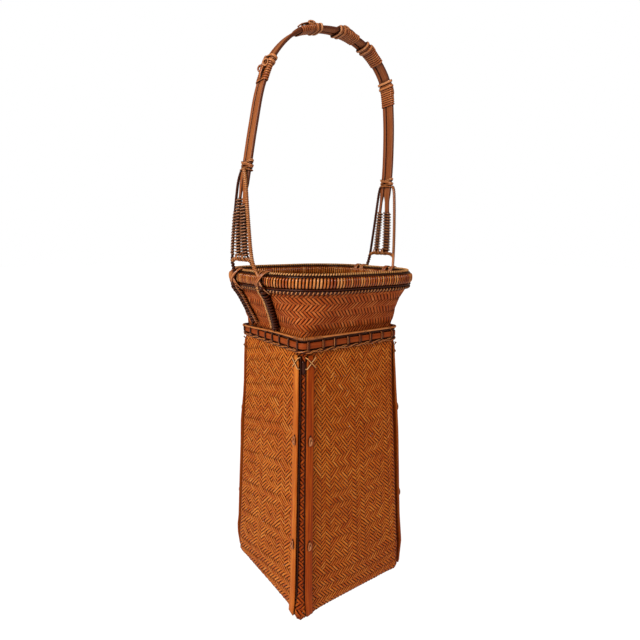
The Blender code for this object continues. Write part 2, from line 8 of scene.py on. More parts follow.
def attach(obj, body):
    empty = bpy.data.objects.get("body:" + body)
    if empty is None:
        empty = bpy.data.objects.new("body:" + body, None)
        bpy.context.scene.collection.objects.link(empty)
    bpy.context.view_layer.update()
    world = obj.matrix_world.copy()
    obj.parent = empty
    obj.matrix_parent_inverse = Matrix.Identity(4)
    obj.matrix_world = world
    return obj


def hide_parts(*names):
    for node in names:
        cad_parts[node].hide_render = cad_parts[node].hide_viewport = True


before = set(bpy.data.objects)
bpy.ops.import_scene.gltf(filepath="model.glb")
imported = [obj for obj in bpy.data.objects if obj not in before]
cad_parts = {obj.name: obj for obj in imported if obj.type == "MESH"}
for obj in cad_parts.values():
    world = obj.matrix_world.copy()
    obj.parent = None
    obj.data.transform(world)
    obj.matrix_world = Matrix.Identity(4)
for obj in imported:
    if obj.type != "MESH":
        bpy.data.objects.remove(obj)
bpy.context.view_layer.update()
rng = np.random.default_rng(11)
mm = 0.001
fullTurn = 2 * math.pi
caneFlat = 0.8  # a split cane's thickness as a share of its width
skyWard = np.array((0, 0, 1.0))
backWard = np.array((0, 1.0, 0))
wayOut = {"left": -1, "right": 1}


def inMm(**given):
    # Sizes given in millimetres
    return {name: np.multiply(size, mm) for name, size in given.items()}


# Materials

def linear(text):
    # sRGB hex to linear red, green, blue and alpha
    parts = [int(text[place:place + 2], 16) / 255 for place in (1, 3, 5)]
    return [part / 12.92 if part <= 0.04045 else ((part + 0.055) / 1.055) ** 2.4 for part in parts] + [1]


def addNode(tree, kind, inputs=None, settings=None, stops=(), out=0):
    made = tree.nodes.new("ShaderNode" + kind)
    for name, value in (settings or {}).items():
        setattr(made, name, value)
    for name, value in (inputs or {}).items():
        if isinstance(value, bpy.types.NodeSocket):
            tree.links.new(value, made.inputs[name])
        else:
            made.inputs[name].default_value = value
    for place, (position, colour) in enumerate(stops):
        stop = made.color_ramp.elements[place] if place < 2 else made.color_ramp.elements.new(position)
        stop.position = position
        stop.color = linear(colour)
    return made.outputs[out] if len(made.outputs) else made


def bamboo(name, look):
    # Split bamboo or cane: long fibres under a waxy skin; shade is painted into the colour in every crevice,
    # on each strand's sides and on its underside
    made = bpy.data.materials.new(name)
    made.use_nodes = True
    tree = made.node_tree
    tree.nodes.clear()
    where = addNode(tree, "UVMap", settings={"uv_map": "UVMap"})  # metres along and across the strand
    # the sides' mark carries painted light and shade: each look mixes a strand's sides towards a set colour
    tone, edge, under = (addNode(tree, "Attribute", settings={"attribute_name": mark}, out="Fac")
                         for mark in ("tone", "edge", "under"))
    seed = addNode(tree, "Math", {0: tone, 1: look["seedSpread"]}, {"operation": "MULTIPLY"})
    grains = []
    for (long, wide), detail in ((look["fibre"], 3.0), (look["streak"], 2.0)):
        place = addNode(tree, "Mapping", {"Vector": where, "Scale": (1 / (long * mm), 1 / (wide * mm), 1)})
        grains.append(addNode(tree, "TexNoise", {"Vector": place, "W": seed, "Scale": 1.0, "Detail": detail},
                              {"noise_dimensions": "4D"}))
    fibre, streak = grains
    shade = 0.0
    for amount, share in zip((fibre, streak, tone), look["shares"]):
        shade = addNode(tree, "Math", {0: amount, 1: share, 2: shade}, {"operation": "MULTIPLY_ADD"})
    colour = addNode(tree, "ValToRGB", {"Fac": shade}, stops=look["colours"])

    around = addNode(tree, "TexCoord", out="Object")
    stain = addNode(tree, "TexNoise", {
        "Vector": around, "Scale": 1 / (look["stainSize"] * mm), "Detail": 3.0})
    across = addNode(tree, "SeparateXYZ", {0: where}, out=1)
    groove = addNode(tree, "Math", {0: across, 1: fullTurn / (look["groovePitch"] * mm)},
                     {"operation": "MULTIPLY"})
    groove = addNode(tree, "Math", {0: groove}, {"operation": "COSINE"})
    # painted shade: ambient occlusion darkens the colour in crevices and in the gaps between strands
    crevice = addNode(tree, "AmbientOcclusion", {"Distance": look["creviceReach"] * mm}, {"samples": 6},
                      out="AO")
    # the underside's mark carries painted shade: each look darkens a strand's inner face towards a set
    # colour; the stain and groove marks are the cane's own colour
    layers = {"stain": stain, "edge": edge, "groove": groove, "under": under, "crevice": crevice}
    for layer, amount in layers.items():
        least, most = look[layer + "Range"]
        layers[layer] = addNode(tree, "MapRange", {0: amount, 1: least, 2: most, 4: look[layer + "Share"]})
        colour = addNode(tree, "Mix", {0: layers[layer], 6: colour, 7: linear(look[layer + "Colour"])},
                         {"data_type": "RGBA"}, out=2)
    rough = addNode(tree, "MapRange", {0: streak, 1: 0.3, 2: 0.7, 3: look["rough"][0], 4: look["rough"][1]})
    relief = addNode(tree, "Math", {0: fibre, 1: layers["groove"]}, {"operation": "SUBTRACT"})
    bump = addNode(tree, "Bump", {
        "Strength": look["bump"], "Distance": look["bumpDepth"] * mm, "Height": relief})
    skin = addNode(tree, "BsdfPrincipled", {
        "Base Color": colour, "Roughness": rough, "Normal": bump, "IOR": look["ior"],
        "Specular IOR Level": look["sheen"], "Coat Weight": look["coat"], "Coat Roughness": look["coatRough"],
        "Coat IOR": look["ior"]})
    addNode(tree, "OutputMaterial", {0: skin})
    return made


looks, materials = {}, {}


def addMaterial(name, basis=None, **changes):
    # A look like an earlier one but for what is given; sizes of grain, stains and grooves are in millimetres
    looks[name] = {**looks.get(basis, {}), **changes}
    materials[name] = bamboo(name, looks[name])


# Smoked bamboo splints of the body, split and scraped: golden brown and satin; painted shade darkens each
# stroke's sides and underside and the crevices between the strokes
addMaterial(
    "bodySplint", slot="body_weave", fibre=(9, 0.35), streak=(45, 0.9), shares=(0.55, 0.3, 0.1),
    seedSpread=37, colours=((0.3, "#8c3404"), (0.43, "#ba5a0e"), (0.55, "#d8842e"), (0.7, "#f2ba74")),
    stainSize=50, stainRange=(0.38, 0.68), stainShare=0.3, stainColour="#963800",
    edgeRange=(0.45, 1), edgeShare=0.9, edgeColour="#4c1000",
    underRange=(0.25, 0.75), underShare=0.85, underColour="#2c0a00",
    groovePitch=2, grooveRange=(0.55, 1), grooveShare=0, grooveColour="#963800",
    creviceReach=2.4, creviceRange=(0.97, 0.5), creviceShare=0.95, creviceColour="#2a0800",
    rough=(0.42, 0.6), bump=0.35, bumpDepth=0.12, ior=1.5, sheen=0.14, coat=0, coatRough=0.25)
# Neck splints: thinner, stained redder, the same satin skin
addMaterial("neckSplint", "bodySplint", slot="neck_weave", stainColour="#842e04",
            colours=((0.3, "#7c2c08"), (0.43, "#ae5018"), (0.55, "#ca7436"), (0.7, "#eaaa78")))
# Flat split bamboo of the strips, waxed on its smooth side: straight fine fibres; its edges are painted paler
# as a highlight, its underside and crevices painted darker as shade
addMaterial("stripBamboo", "bodySplint", slot="strip_bamboo", fibre=(16, 0.5), streak=(70, 1.6),
            shares=(0.5, 0.5, 0.3),
            colours=((0.38, "#641c00"), (0.54, "#923800"), (0.7, "#b05408"), (0.9, "#d88838")),
            stainShare=0.35, edgeRange=(0.8, 1), edgeShare=0.3, edgeColour="#984a10",
            underShare=0.4, underColour="#4a1804", creviceShare=0.85, coat=0.03)
# The shoulder's band: the same bamboo, stained darker
addMaterial("bandBamboo", "stripBamboo",
            colours=((0.34, "#4c1602"), (0.52, "#7c3008"), (0.7, "#96481a"), (0.95, "#bc743c")))
# Handle bamboo, bent over heat and waxed: paler skin with lengthwise grooves; its narrow sides and its inner
# side are painted dark as shade
addMaterial("handleBamboo", "stripBamboo", slot="handle_bamboo", fibre=(14, 0.6), streak=(60, 1.8),
            colours=((0.34, "#5c2006"), (0.52, "#864418"), (0.7, "#9e5c2c"), (0.95, "#c48c5c")),
            groovePitch=2.3, grooveShare=0.45, grooveColour="#783410", stainColour="#783410",
            edgeRange=(0.86, 1), edgeShare=0.9, edgeColour="#3a0c02",
            underShare=0.3, underColour="#5a2008", creviceReach=3.5, sheen=0.4)
# Pale rattan cane, split and glossy: honey coloured with brown blemishes; its sides and crevices are painted
# darker as shade
addMaterial("paleRattan", "bodySplint", slot="pale_rattan", fibre=(6, 0.35), shares=(0.5, 0.5, 0.35),
            colours=((0.3, "#80400f"), (0.52, "#b67232"), (0.75, "#dca05c"), (1.0, "#f4cc90")),
            stainShare=0.2, stainSize=12, edgeRange=(0.5, 1), edgeShare=0.75, edgeColour="#4c1a04",
            underShare=0, creviceReach=2.2, rough=(0.26, 0.4), sheen=0.45, coat=0.12)
# Knots of the handle, stitches and lashings: the same cane, smoked redder, with its own painted shade on the
# sides and in crevices
addMaterial("knotRattan", "paleRattan",
            colours=((0.3, "#5c2008"), (0.52, "#94481c"), (0.75, "#ba723c"), (1.0, "#e4ac7c")),
            edgeRange=(0.6, 1), edgeShare=0.6, edgeColour="#48180a", creviceColour="#300c02")
# Brown rattan cane, stained red brown: glossy ridges, their sides and the gaps between turns painted near
# black as shade
addMaterial("brownRattan", "paleRattan", slot="brown_rattan", stainColour="#401206", edgeColour="#200602",
            edgeShare=0.9, colours=((0.3, "#3c1406"), (0.52, "#78340c"), (0.75, "#aa6028"), (1.0, "#e0a86c")))
# The legs' windings: glossy ridges with near-black painted shade between them; only each turn's crown keeps
# the bright colours, a painted highlight
addMaterial("legRattan", "brownRattan",
            colours=((0.3, "#401408"), (0.5, "#7c3a1e"), (0.7, "#b07448"), (1.0, "#f0c8a4")),
            edgeRange=(0.15, 1), edgeShare=1, edgeColour="#180300", creviceColour="#100200", creviceShare=1,
            creviceReach=2.8, rough=(0.16, 0.28), sheen=0.6, coat=0.2)
# Rim cane: golden to red brown from turn to turn, with near-black painted shade on the sides of each turn
addMaterial("rimRattan", "brownRattan", shares=(0.45, 0.4, 0.45), rough=(0.2, 0.34), edgeColour="#1c0400",
            colours=((0.3, "#541804"), (0.52, "#a24812"), (0.74, "#cc7a30"), (1.0, "#f4bc7c")))
# Tan cane of rods and hoop, with a satin skin
addMaterial("tanRattan", "paleRattan",
            colours=((0.3, "#6c2c08"), (0.52, "#a4561e"), (0.75, "#c07838"), (1.0, "#e4ae78")))
# Cane stained near black, of ties and cords, and of dark strands that paint shade in gaps: its sides are
# painted darker still as shade, so only its ridges catch light
addMaterial("darkRattan", "brownRattan", edgeColour="#100401", sheen=0.2, coat=0.03,
            colours=((0.3, "#1c0803"), (0.52, "#381206"), (0.75, "#5a2810"), (1.0, "#a06c40")))
# Water tube: a plain bamboo culm, sawn, with its green long gone; its fibres stand upright
addMaterial("culmBamboo", "stripBamboo", slot="tube_bamboo", fibre=(0.6, 30), streak=(2, 90),
            colours=((0.28, "#6a4420"), (0.5, "#a5753c"), (0.72, "#bf9050"), (1.0, "#d6b077")))
print("materials", len(materials))


# Strands: tubes of a flattened round section along given lines

tubeShapes = {}


def tubeShape(rows, sides, closed):
    # A grid rolled into a tube: x is the row, y and z the place round the section
    key = (rows, sides, closed)
    if key not in tubeShapes:
        build = bmesh.new()
        bmesh.ops.create_grid(build, x_segments=rows - 1, y_segments=sides, size=1)
        for vert in build.verts:
            angle = math.pi * (vert.co.y + 1)
            vert.co = ((vert.co.x + 1) / 2 * (rows - 1), math.cos(angle), math.sin(angle))
        bmesh.ops.remove_doubles(build, verts=build.verts, dist=0.01)
        if not closed:
            bmesh.ops.holes_fill(build, edges=build.edges)
        bmesh.ops.recalc_face_normals(build, faces=build.faces)
        if closed:
            first = build.faces[:][0]
            if first.normal.dot(Vector((0, *first.calc_center_median()[1:]))) < 0:
                bmesh.ops.reverse_faces(build, faces=build.faces)
        tubeShapes[key] = bpy.data.meshes.new("tubeShape")
        build.to_mesh(tubeShapes[key])
        build.free()
    return tubeShapes[key]


def unit(vectors):
    return vectors / np.maximum(np.linalg.norm(vectors, axis=-1, keepdims=True), 1e-12)


def squareTo(outs, ways):
    return unit(outs - ways * (outs * ways).sum(-1, keepdims=True))


def squarish(value, squareness):
    return np.sign(value) * np.abs(value) ** squareness


def bell(value, reach, power=2):
    # 1 at 0, falling off beyond the reach
    return np.exp(-(value / reach) ** power)


def wrapped(value, period):
    return np.abs((value + period / 2) % period - period / 2)


def angles(turns, count):
    return np.linspace(0, fullTurn * turns, count)


def lengthsOf(points):
    # How far along the line each point lies
    return np.concatenate([[0], np.cumsum(np.linalg.norm(np.diff(points, axis=0), axis=1))])


def pointsAt(distance, lengths, points):
    return np.stack([np.interp(distance, lengths, points[:, axis]) for axis in range(3)], -1)


def lineOf(points, outs, width, thickness, tone=None):
    # outs is the way that the strand's outer side faces; the sizes and the tone may change along it
    return {"at": np.asarray(points, float), "out": np.asarray(outs, float), "width": width,
            "thickness": thickness, "tone": rng.random() if tone is None else tone}


def strandPiece(name, lines, sides, squareness, material, replaced=(), slot=None, body="basket",
                closed=False):
    slot = slot or looks[material]["slot"]
    shapes = [tubeShape(len(line["at"]), sides, closed) for line in lines]
    build = bmesh.new()
    for shape in shapes:
        build.from_mesh(shape)
    data = bpy.data.meshes.new(name)
    build.to_mesh(data)
    build.free()
    count = len(data.vertices)
    flat = np.empty(count * 3)
    data.vertices.foreach_get("co", flat)
    flat = flat.reshape(-1, 3)
    placed = np.empty_like(flat)
    along, across = np.empty(count), np.empty(count)
    # the sides' mark, from 0 on a strand's crown to 1 at its sides, is for painted light and shade
    marks = {"tone": np.empty(count), "edge": np.abs(flat[:, 1]) ** squareness, "under": (1 - flat[:, 2]) / 2}
    # the underside's mark, from 0 on a strand's outer face to 1 on its inner face, is for painted shade
    start = 0
    for line, shape in zip(lines, shapes):
        part = slice(start, start + len(shape.vertices))
        start = part.stop
        row = np.rint(flat[part, 0]).astype(int)
        at = line["at"]
        ahead = np.roll(at, -1, 0) - np.roll(at, 1, 0)
        if closed:
            ahead[0] = ahead[-1] = at[1] - at[-2]
        else:
            ahead[0], ahead[-1] = at[1] - at[0], at[-1] - at[-2]
        way = unit(ahead)
        out = squareTo(line["out"], way)
        side = np.cross(out, way)
        if closed:
            out[-1], side[-1] = out[0], side[0]
        turn, rise = (squarish(flat[part, axis], squareness) * np.broadcast_to(line[size], len(at))[row] / 2
                      for axis, size in ((1, "width"), (2, "thickness")))
        placed[part] = at[row] + side[row] * turn[:, None] + out[row] * rise[:, None]
        along[part] = lengthsOf(at)[row] + rng.random() * 3
        across[part] = turn
        marks["tone"][part] = np.broadcast_to(line["tone"], len(at))[row]
    data.vertices.foreach_set("co", placed.ravel())
    corners = np.empty(len(data.loops), int)
    data.loops.foreach_get("vertex_index", corners)
    layer = data.uv_layers.new(name="UVMap")
    layer.data.foreach_set("uv", np.stack([along[corners], across[corners]], 1).ravel())
    for mark, values in marks.items():
        data.attributes.new(mark, "FLOAT", "POINT").data.foreach_set("value", values)
    if closed:
        build = bmesh.new()
        build.from_mesh(data)
        bmesh.ops.remove_doubles(build, verts=build.verts, dist=0.001 * mm)
        build.to_mesh(data)
        build.free()
    data.shade_smooth()
    data.update()
    made = bpy.data.objects.new(name, data)
    bpy.context.scene.collection.objects.link(made)
    data.materials.append(materials[material])
    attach(made, body)
    if replaced:
        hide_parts(*replaced)


def woundOn(points, outward, pitch, radius, size, tone, start=0.0):
    # A strand wound on a round core that follows the points
    steps = lengthsOf(points)
    run = np.linspace(0, steps[-1], int(steps[-1] / pitch * 10) + 1)
    at = pointsAt(run, steps, points)
    way = unit(np.gradient(at, axis=0))
    out = squareTo(outward, way)
    angle = run / pitch * fullTurn + start
    away = out * np.cos(angle)[:, None] + np.cross(out, way) * np.sin(angle)[:, None]
    return lineOf(at + away * radius, away, size, size * caneFlat, tone)


def smoothLine(points, steps):
    # Catmull-Rom line through the points
    points = np.asarray(points, float)
    padded = np.vstack([points[:1], points, points[-1:]])
    before, start, end, after = (padded[k:len(points) - 1 + k][:, None, :] for k in range(4))
    t = (np.arange(steps) / steps)[None, :, None]
    line = 0.5 * (2 * start + (end - before) * t + (2 * before - 5 * start + 4 * end - after) * t ** 2
                  + (3 * start - before - 3 * end + after) * t ** 3)
    return np.vstack([line.reshape(-1, points.shape[1]), points[-1:]])


# The basket's rounded-square sections

form = {
    **inMm(bodyHeight=262, bellyHalf=63.4, mouthHalf=74.2, neckRise=51.5, rimUp=42.7, rimTall=10.3,
           wall=1.6, fit=0.3, ground=0.8, leastCorner=3, cornerDark=3.2, footFlare=0.6, footReach=8,
           footTall=14, footCurl=1.4, pullReach=15, footPull=(-3.4, -2.2, 0), mouthPull=2.0),
    "cornerShare": 0.085, "mouthCornerShare": 0.66, "mouthPullReach": 0.3,
    # level and half width, as shares of the body's height and its widest half
    "bodyRows": ((0.0, 0.952), (0.02, 0.983), (0.11, 1.0), (0.3, 0.967),
                 (0.55, 0.926), (0.75, 0.887), (0.92, 0.867), (1.0, 0.863)),
    # level as a share of the neck's rise, widening as a share of its flare, corner as a share of the half
    "neckRows": ((-0.233, 0.0, 0.066), (0.07, 0.0, 0.085), (0.175, 0.17, 0.22), (0.35, 0.43, 0.47),
                 (0.544, 0.70, 0.61), (0.70, 0.915, 0.64), (0.81, 1.0, 0.66), (1.0, 1.0, 0.66)),
    # the body's corner radius at these levels, as shares of the half
    "cornerRows": ((0.0, 0.04), (0.05, 0.09), (0.15, 0.135), (0.9, 0.145), (1.0, 0.11))}
bodyHeight, fit, mouthHalf = form["bodyHeight"], form["fit"], form["mouthHalf"]
bodyRows = np.array(form["bodyRows"]) * (bodyHeight, form["bellyHalf"])
cornerRows = np.array(form["cornerRows"]) * (bodyHeight, 1)
skirtHalf = bodyRows[-1, 1] - form["wall"] - fit
mouthCorner = mouthHalf * form["mouthCornerShare"]
neckRows = np.array(form["neckRows"]) * (form["neckRise"], mouthHalf - skirtHalf, 1)
neckRows += (bodyHeight, skirtHalf, 0)
rimLow = bodyHeight + form["rimUp"]
rimTop = rimLow + form["rimTall"]


def squareAt(place, half, corner, height):
    # Point and outward way on a rounded square; place runs 0 to 4 round it from the front left corner
    place, half, corner, height = np.broadcast_arrays(place, half, corner, height)
    side = np.floor(place % 4).astype(int)
    share = (place % 4 - side) * 2 - 1
    straight = half - corner
    reach = np.abs(share) * (straight + corner * math.pi / 4)
    bend = np.maximum(reach - straight, 0) / corner
    x = np.sign(share) * np.where(reach > straight, straight + corner * np.sin(bend), reach)
    y = -(straight + corner * np.cos(bend))
    outX, outY = np.sign(share) * np.sin(bend), -np.cos(bend)
    cos, sin = np.array((1, 0, -1, 0))[side], np.array((0, 1, 0, -1))[side]
    point = np.stack([x * cos - y * sin, x * sin + y * cos, height], -1)
    out = np.stack([outX * cos - outY * sin, outX * sin + outY * cos, np.zeros_like(x)], -1)
    return point, out


def mouthPull(place):
    # The mouth is drawn out a little towards its front right corner
    return form["mouthPull"] * bell(wrapped(place - 1, 4), form["mouthPullReach"])


def bodyHalf(height):
    return np.interp(height, bodyRows[:, 0], bodyRows[:, 1])


def bodySurface(place, level, inset):
    # level is the height, and below 0 it runs on inward under the floor; the corners flare at the foot
    curl = np.sqrt(level ** 2 + form["footCurl"] ** 2)
    height = np.minimum((level + curl) / 2, bodyHeight)
    inward = np.maximum((curl - level - form["footCurl"]) / 2, 0)
    half = bodyHalf(height)
    flare = (form["footFlare"] * bell(height, form["footReach"])
             * bell(wrapped(place, 1) * 2 * half, form["footReach"]))
    corner = half * np.interp(height, cornerRows[:, 0], cornerRows[:, 1])
    lifted = form["ground"] + height * (1 - form["ground"] / bodyHeight)
    # the foot of the near corner is drawn out
    pull = bell(wrapped(place, 4) * 2 * half, form["pullReach"]) * bell(height, form["footTall"])
    points = squareAt(place, half - inset - inward + flare, corner, lifted)[0]
    return points + pull[..., None] * form["footPull"]


def neckSurface(place, level, inset):
    half = np.interp(level, neckRows[:, 0], neckRows[:, 1])
    corner = np.maximum(half * np.interp(level, neckRows[:, 0], neckRows[:, 2]), form["leastCorner"])
    pull = mouthPull(place) * np.clip((level - bodyHeight) / form["neckRise"], 0, 1)
    return squareAt(place, half - inset + pull, corner, level)[0]


# Woven walls: every splint is a strand that passes over and under those that cross it

def splints(weave, family):
    # family 1 climbs to the right, -1 to the left, as seen from outside
    lines = []
    step, tiny = 0.5, 0.02
    surface, level = weave["surface"], weave["level"]
    for start in range(sum(weave["units"])):
        rise = np.arange(weave["from"], weave["to"] + step / 2, step)
        x = start + family * rise
        keep = (level(x, rise) > weave["low"]) & (level(x, rise) < weave["high"])
        first, last = np.flatnonzero(keep)[[0, -1]]
        span = slice(max(first - 1, 0), last + 2)
        rise, x = rise[span], x[span]
        over = np.where(weave["pattern"](x, rise), 1, -1) * family
        point = surface(x, rise)
        east = (surface(x + tiny, rise) - point) / tiny
        north = (surface(x, rise + tiny) - point) / tiny
        out = unit(np.cross(east, north))
        way = unit(family * east + north)
        room = np.linalg.norm(np.cross(east, way), axis=1)
        wander = rng.normal(0, weave["wander"], len(rise)) * room
        lift = weave["lift"] * np.clip(level(x, rise) / form["footReach"], weave["leastLift"], 1)
        point = point + out * (over * lift)[:, None] + np.cross(out, way) * wander[:, None]
        # painted shade: splints near a corner, which the strips shade, get a lower tone
        fromCorner = wrapped(weave["place"](x), 1) * 2 * form["bellyHalf"]
        tone = rng.random() - weave["darker"] * bell(fromCorner, form["cornerDark"], 4)
        width = room * weave["cover"] * rng.uniform(*weave["widths"])
        lines.append(lineOf(point, out, width, weave["thickness"], tone))
    return lines


# shares of a splint's room: its width, how that varies and how far its middle strays
ways = {"cover": 0.9, "widths": (0.95, 1.04), "wander": 0.02, "leastLift": 0.3}
bodyWeave = {
    **ways, **inMm(low=-6, high=259.5, lift=0.42, thickness=0.62, inset=0.85),
    "units": (33, 24, 33, 24), "from": -18, "to": 58,
    # heights in millimetres at which some rows of crossings lie, and how far they drift round the body
    "rows": ((-18, -9.5), (0, 58.4), (9, 92.3), (18, 127), (27, 162), (36, 199), (45, 236), (58, 289.4)),
    "drift": ((0, 0), (0.25, -4.2), (0.5, -7), (0.75, -5.8), (1, -3.5), (2, -22), (2.5, -26), (3, -25),
              (4, 0)),
    # the last entry: how far the tone of splints near a corner is lowered, as painted shade
    "band": 1.5, "frontCentre": 12.5, "sideCentre": 13.5, "darker": 1.6}
bodyEdges = np.concatenate([[0], np.cumsum(bodyWeave["units"])])


def bodyPlace(x):
    return np.interp(x % bodyEdges[-1], bodyEdges, range(5))


def bodyLevel(x, y):
    rows, drift = np.array(bodyWeave["rows"]), np.array(bodyWeave["drift"])
    return (np.interp(y, rows[:, 0], rows[:, 1]) + np.interp(bodyPlace(x), drift[:, 0], drift[:, 1])) * mm


def bodyPattern(x, y):
    # True where the splint that climbs to the right shows: nested squares in bands of three crossings
    x = x % bodyEdges[-1]
    side = np.searchsorted(bodyEdges, x, side="right") - 1
    wide = side % 2 == 0
    centre = np.where(wide, bodyWeave["frontCentre"], bodyWeave["sideCentre"])
    dx = (x - bodyEdges[side] - centre) / bodyWeave["band"]
    dx = np.where(wide, wrapped(dx, 8), wrapped(dx, 6))
    dy = y / bodyWeave["band"]
    reach = np.maximum(dx, wrapped(dy, 6))
    nested = (reach < 0.5) | ((reach >= 1.5) & (reach < 2.5)) | (wide & (dx > 3.5))
    return np.where(dy < -2.5, np.rint(dy).astype(int) % 2 == 0, nested)


def bodyPoint(x, y):
    level = np.clip(bodyLevel(x, y), bodyWeave["low"], bodyWeave["high"])
    return bodySurface(bodyPlace(x), level, bodyWeave["inset"])


bodyWeave.update(level=bodyLevel, pattern=bodyPattern, place=bodyPlace, surface=bodyPoint)

neckWeave = {
    **ways, **inMm(low=253, high=309, lift=0.4, thickness=0.6, inset=0.8, foot=269.9, unit=4.07),
    "units": (31, 31, 31, 31), "from": -4.5, "to": 11, "band": 1.5, "darker": 0,
    "place": lambda x: x / neckWeave["units"][0],
    "level": lambda x, y: neckWeave["foot"] + y * neckWeave["unit"] + 0 * x,
    "pattern": lambda x, y: np.rint(y / neckWeave["band"]).astype(int) % 2 == 1}


def neckPoint(x, y):
    level = np.clip(neckWeave["level"](x, y), neckWeave["low"], neckWeave["high"])
    return neckSurface(neckWeave["place"](x), level, neckWeave["inset"])


neckWeave["surface"] = neckPoint
for family, label in ((1, "right"), (-1, "left")):
    lines = splints(bodyWeave, family)
    middle = len(lines) // 2
    for part, half in enumerate((lines[:middle], lines[middle:])):
        strandPiece("bodySplints_%s_%d" % (label, part), half, 8, 0.6, "bodySplint",
                    ("woven_body",) if family == 1 else ())
    strandPiece("neckSplints_" + label, splints(neckWeave, family), 8, 0.6, "neckSplint",
                ("woven_neck",) if family == 1 else ())

# Floor of the body: two layers of flat splints
base = {**inMm(half=57, height=0.95, lift=0.22, thickness=0.42), "count": 20, "cover": 0.93}
lines = []
steps = (np.arange(base["count"]) + 0.5) / base["count"] * 2 - 1
for turned in (True, False):
    for number, aside in enumerate(steps):
        way = 1 if turned else -1
        over = np.where((np.arange(base["count"]) + number * way) % 4 < 2, way, -way)
        run, level = steps * base["half"], base["height"] + over * base["lift"]
        still = np.full_like(run, aside * base["half"])
        points = np.stack([run, still, level] if turned else [still, run, level], 1)
        width = 2 * base["half"] * base["cover"] / base["count"]
        lines.append(lineOf(points, skyWard, width, base["thickness"]))
strandPiece("bodyBase", lines, 6, 0.6, "bodySplint")
print("weave done")


# Rings round the basket

def ringAt(half, corner, height, count=240, pulled=False):
    # Closed: the last point is the first again
    place = np.linspace(0, 4, count + 1) % 4
    return squareAt(place, half + (mouthPull(place) if pulled else 0), corner, height)


def aroundLine(points, outs, angle, across, up, squareness=1.0):
    # Places on a squarish round section carried along a line, and the way out of it there
    turn, rise = np.cos(angle), np.sin(angle)
    moved = (points + outs * (squarish(turn, squareness) * across)[:, None]
             + skyWard * (squarish(rise, squareness) * up)[:, None])
    return moved, unit(outs * turn[:, None] + skyWard * rise[:, None])


shoulder = {
    # two sizes are a strand's width and thickness
    **inMm(bandLow=252.3, band=(5.3, 1.2), hoop=2.0, hoopCorner=5.6, hoopOut=2.9, hoopDrop=0.9, backDrop=3.6,
           binding=(1.3, 0.5), bindingPitch=1.5, bindingLift=0.2, cord=(2.4, 1.4), cordIn=0.1, cordDrop=1.9,
           tie=(2.2, 1.0), tieEdge=(0.7, 0.8), tieEdgeAside=-1.1, tieCorner=0.5, lacing=(2.6, 1.7),
           lacingOut=0.5, lacingHeight=250, lace=(0.75, 0.6), laceSwing=0.8, laceOut=0.65, laceWave=0.25,
           # a tie's course: heights and how far out from the band's inner side
           tieRows=((260.0, -1.2), (259.4, 0.3), (258.6, 1.15), (257.4, 1.75), (255.4, 1.8), (253.0, 1.75),
                    (251.9, 1.2), (251.2, 0.35), (250.6, -0.3))),
    "tieCount": 32, "backReach": 0.45, "cordFollows": 0.4, "bindingTones": (0.3, 0.8),
    # how far each tie strays and leans along the band, and its tones
    "tieStray": (-0.012, 0.012), "tieLean": (-0.004, 0.006), "tieTones": (0.0, 0.35),
    "tieEdgeTones": (-0.2, 0.8),
    # where short bindings cover the hoop, and how many turns each has
    "bindings": ((0.05, 9), (0.0, 7), (0.62, 1), (0.9, 1), (1.02, 6), (2.03, 6), (2.97, 6), (3.5, 1),
                 (3.9, 8)),
    # drop in millimetres, turns, first angle and tone of the strands that wave along the lacing
    "laces": ((0.3, 32, 0.0, 0.8), (-0.6, 32, 2.2, 0.45), (-0.2, 48, 1.0, 0.65))}
bandHalf = float(bodyHalf(shoulder["bandLow"])) + fit
bandCorner = bodyRows[-1, 1] * form["cornerShare"] + fit
bandTall, bandThickness = shoulder["band"]
middle = bandThickness / 2
points, outs = ringAt(bandHalf + middle, bandCorner + middle, shoulder["bandLow"] + bandTall / 2)
strandPiece("shoulderBand", [lineOf(points, outs, bandTall, bandThickness, 0.4)], 12, 0.35, "bandBamboo",
            ("shoulder_band",), closed=True)
hoopHeight = bodyHeight + fit - shoulder["hoopDrop"]
hoopHalf = skirtHalf + fit + shoulder["hoopOut"]


def backDrop(place):
    # The hoop hangs lower towards the back left corner
    return -skyWard * (shoulder["backDrop"] * bell(wrapped(place - 3, 4), shoulder["backReach"]))[:, None]


ringDrop = backDrop(np.linspace(0, 4, 241))
points, outs = ringAt(hoopHalf, shoulder["hoopCorner"], hoopHeight)
strandPiece("shoulderHoop", [lineOf(points + ringDrop, outs, shoulder["hoop"], shoulder["hoop"], 0.7)],
            10, 1.0, "tanRattan", ("shoulder_hoop",), closed=True)
lines = []
for place, turns in shoulder["bindings"]:
    count = turns * 10
    run = place + np.linspace(0, turns * shoulder["bindingPitch"] / (2 * skirtHalf), count)
    points, outs = squareAt(run % 4, hoopHalf, shoulder["hoopCorner"], hoopHeight)
    reach = shoulder["hoop"] / 2 + shoulder["bindingLift"]
    at, away = aroundLine(points + backDrop(run), outs, angles(turns, count), reach, reach)
    lines.append(lineOf(at, away, *shoulder["binding"], rng.uniform(*shoulder["bindingTones"])))
strandPiece("shoulderHoopBindings", lines, 6, 0.7, "tanRattan")

# A dark strand paints the shade in the gap between band and hoop
points, outs = ringAt(bandHalf - shoulder["cordIn"], bandCorner, hoopHeight - shoulder["cordDrop"])
points = points + ringDrop * shoulder["cordFollows"]
strandPiece("shoulderCord", [lineOf(points, outs, *shoulder["cord"], 0.0)], 8, 0.8, "darkRattan", closed=True)

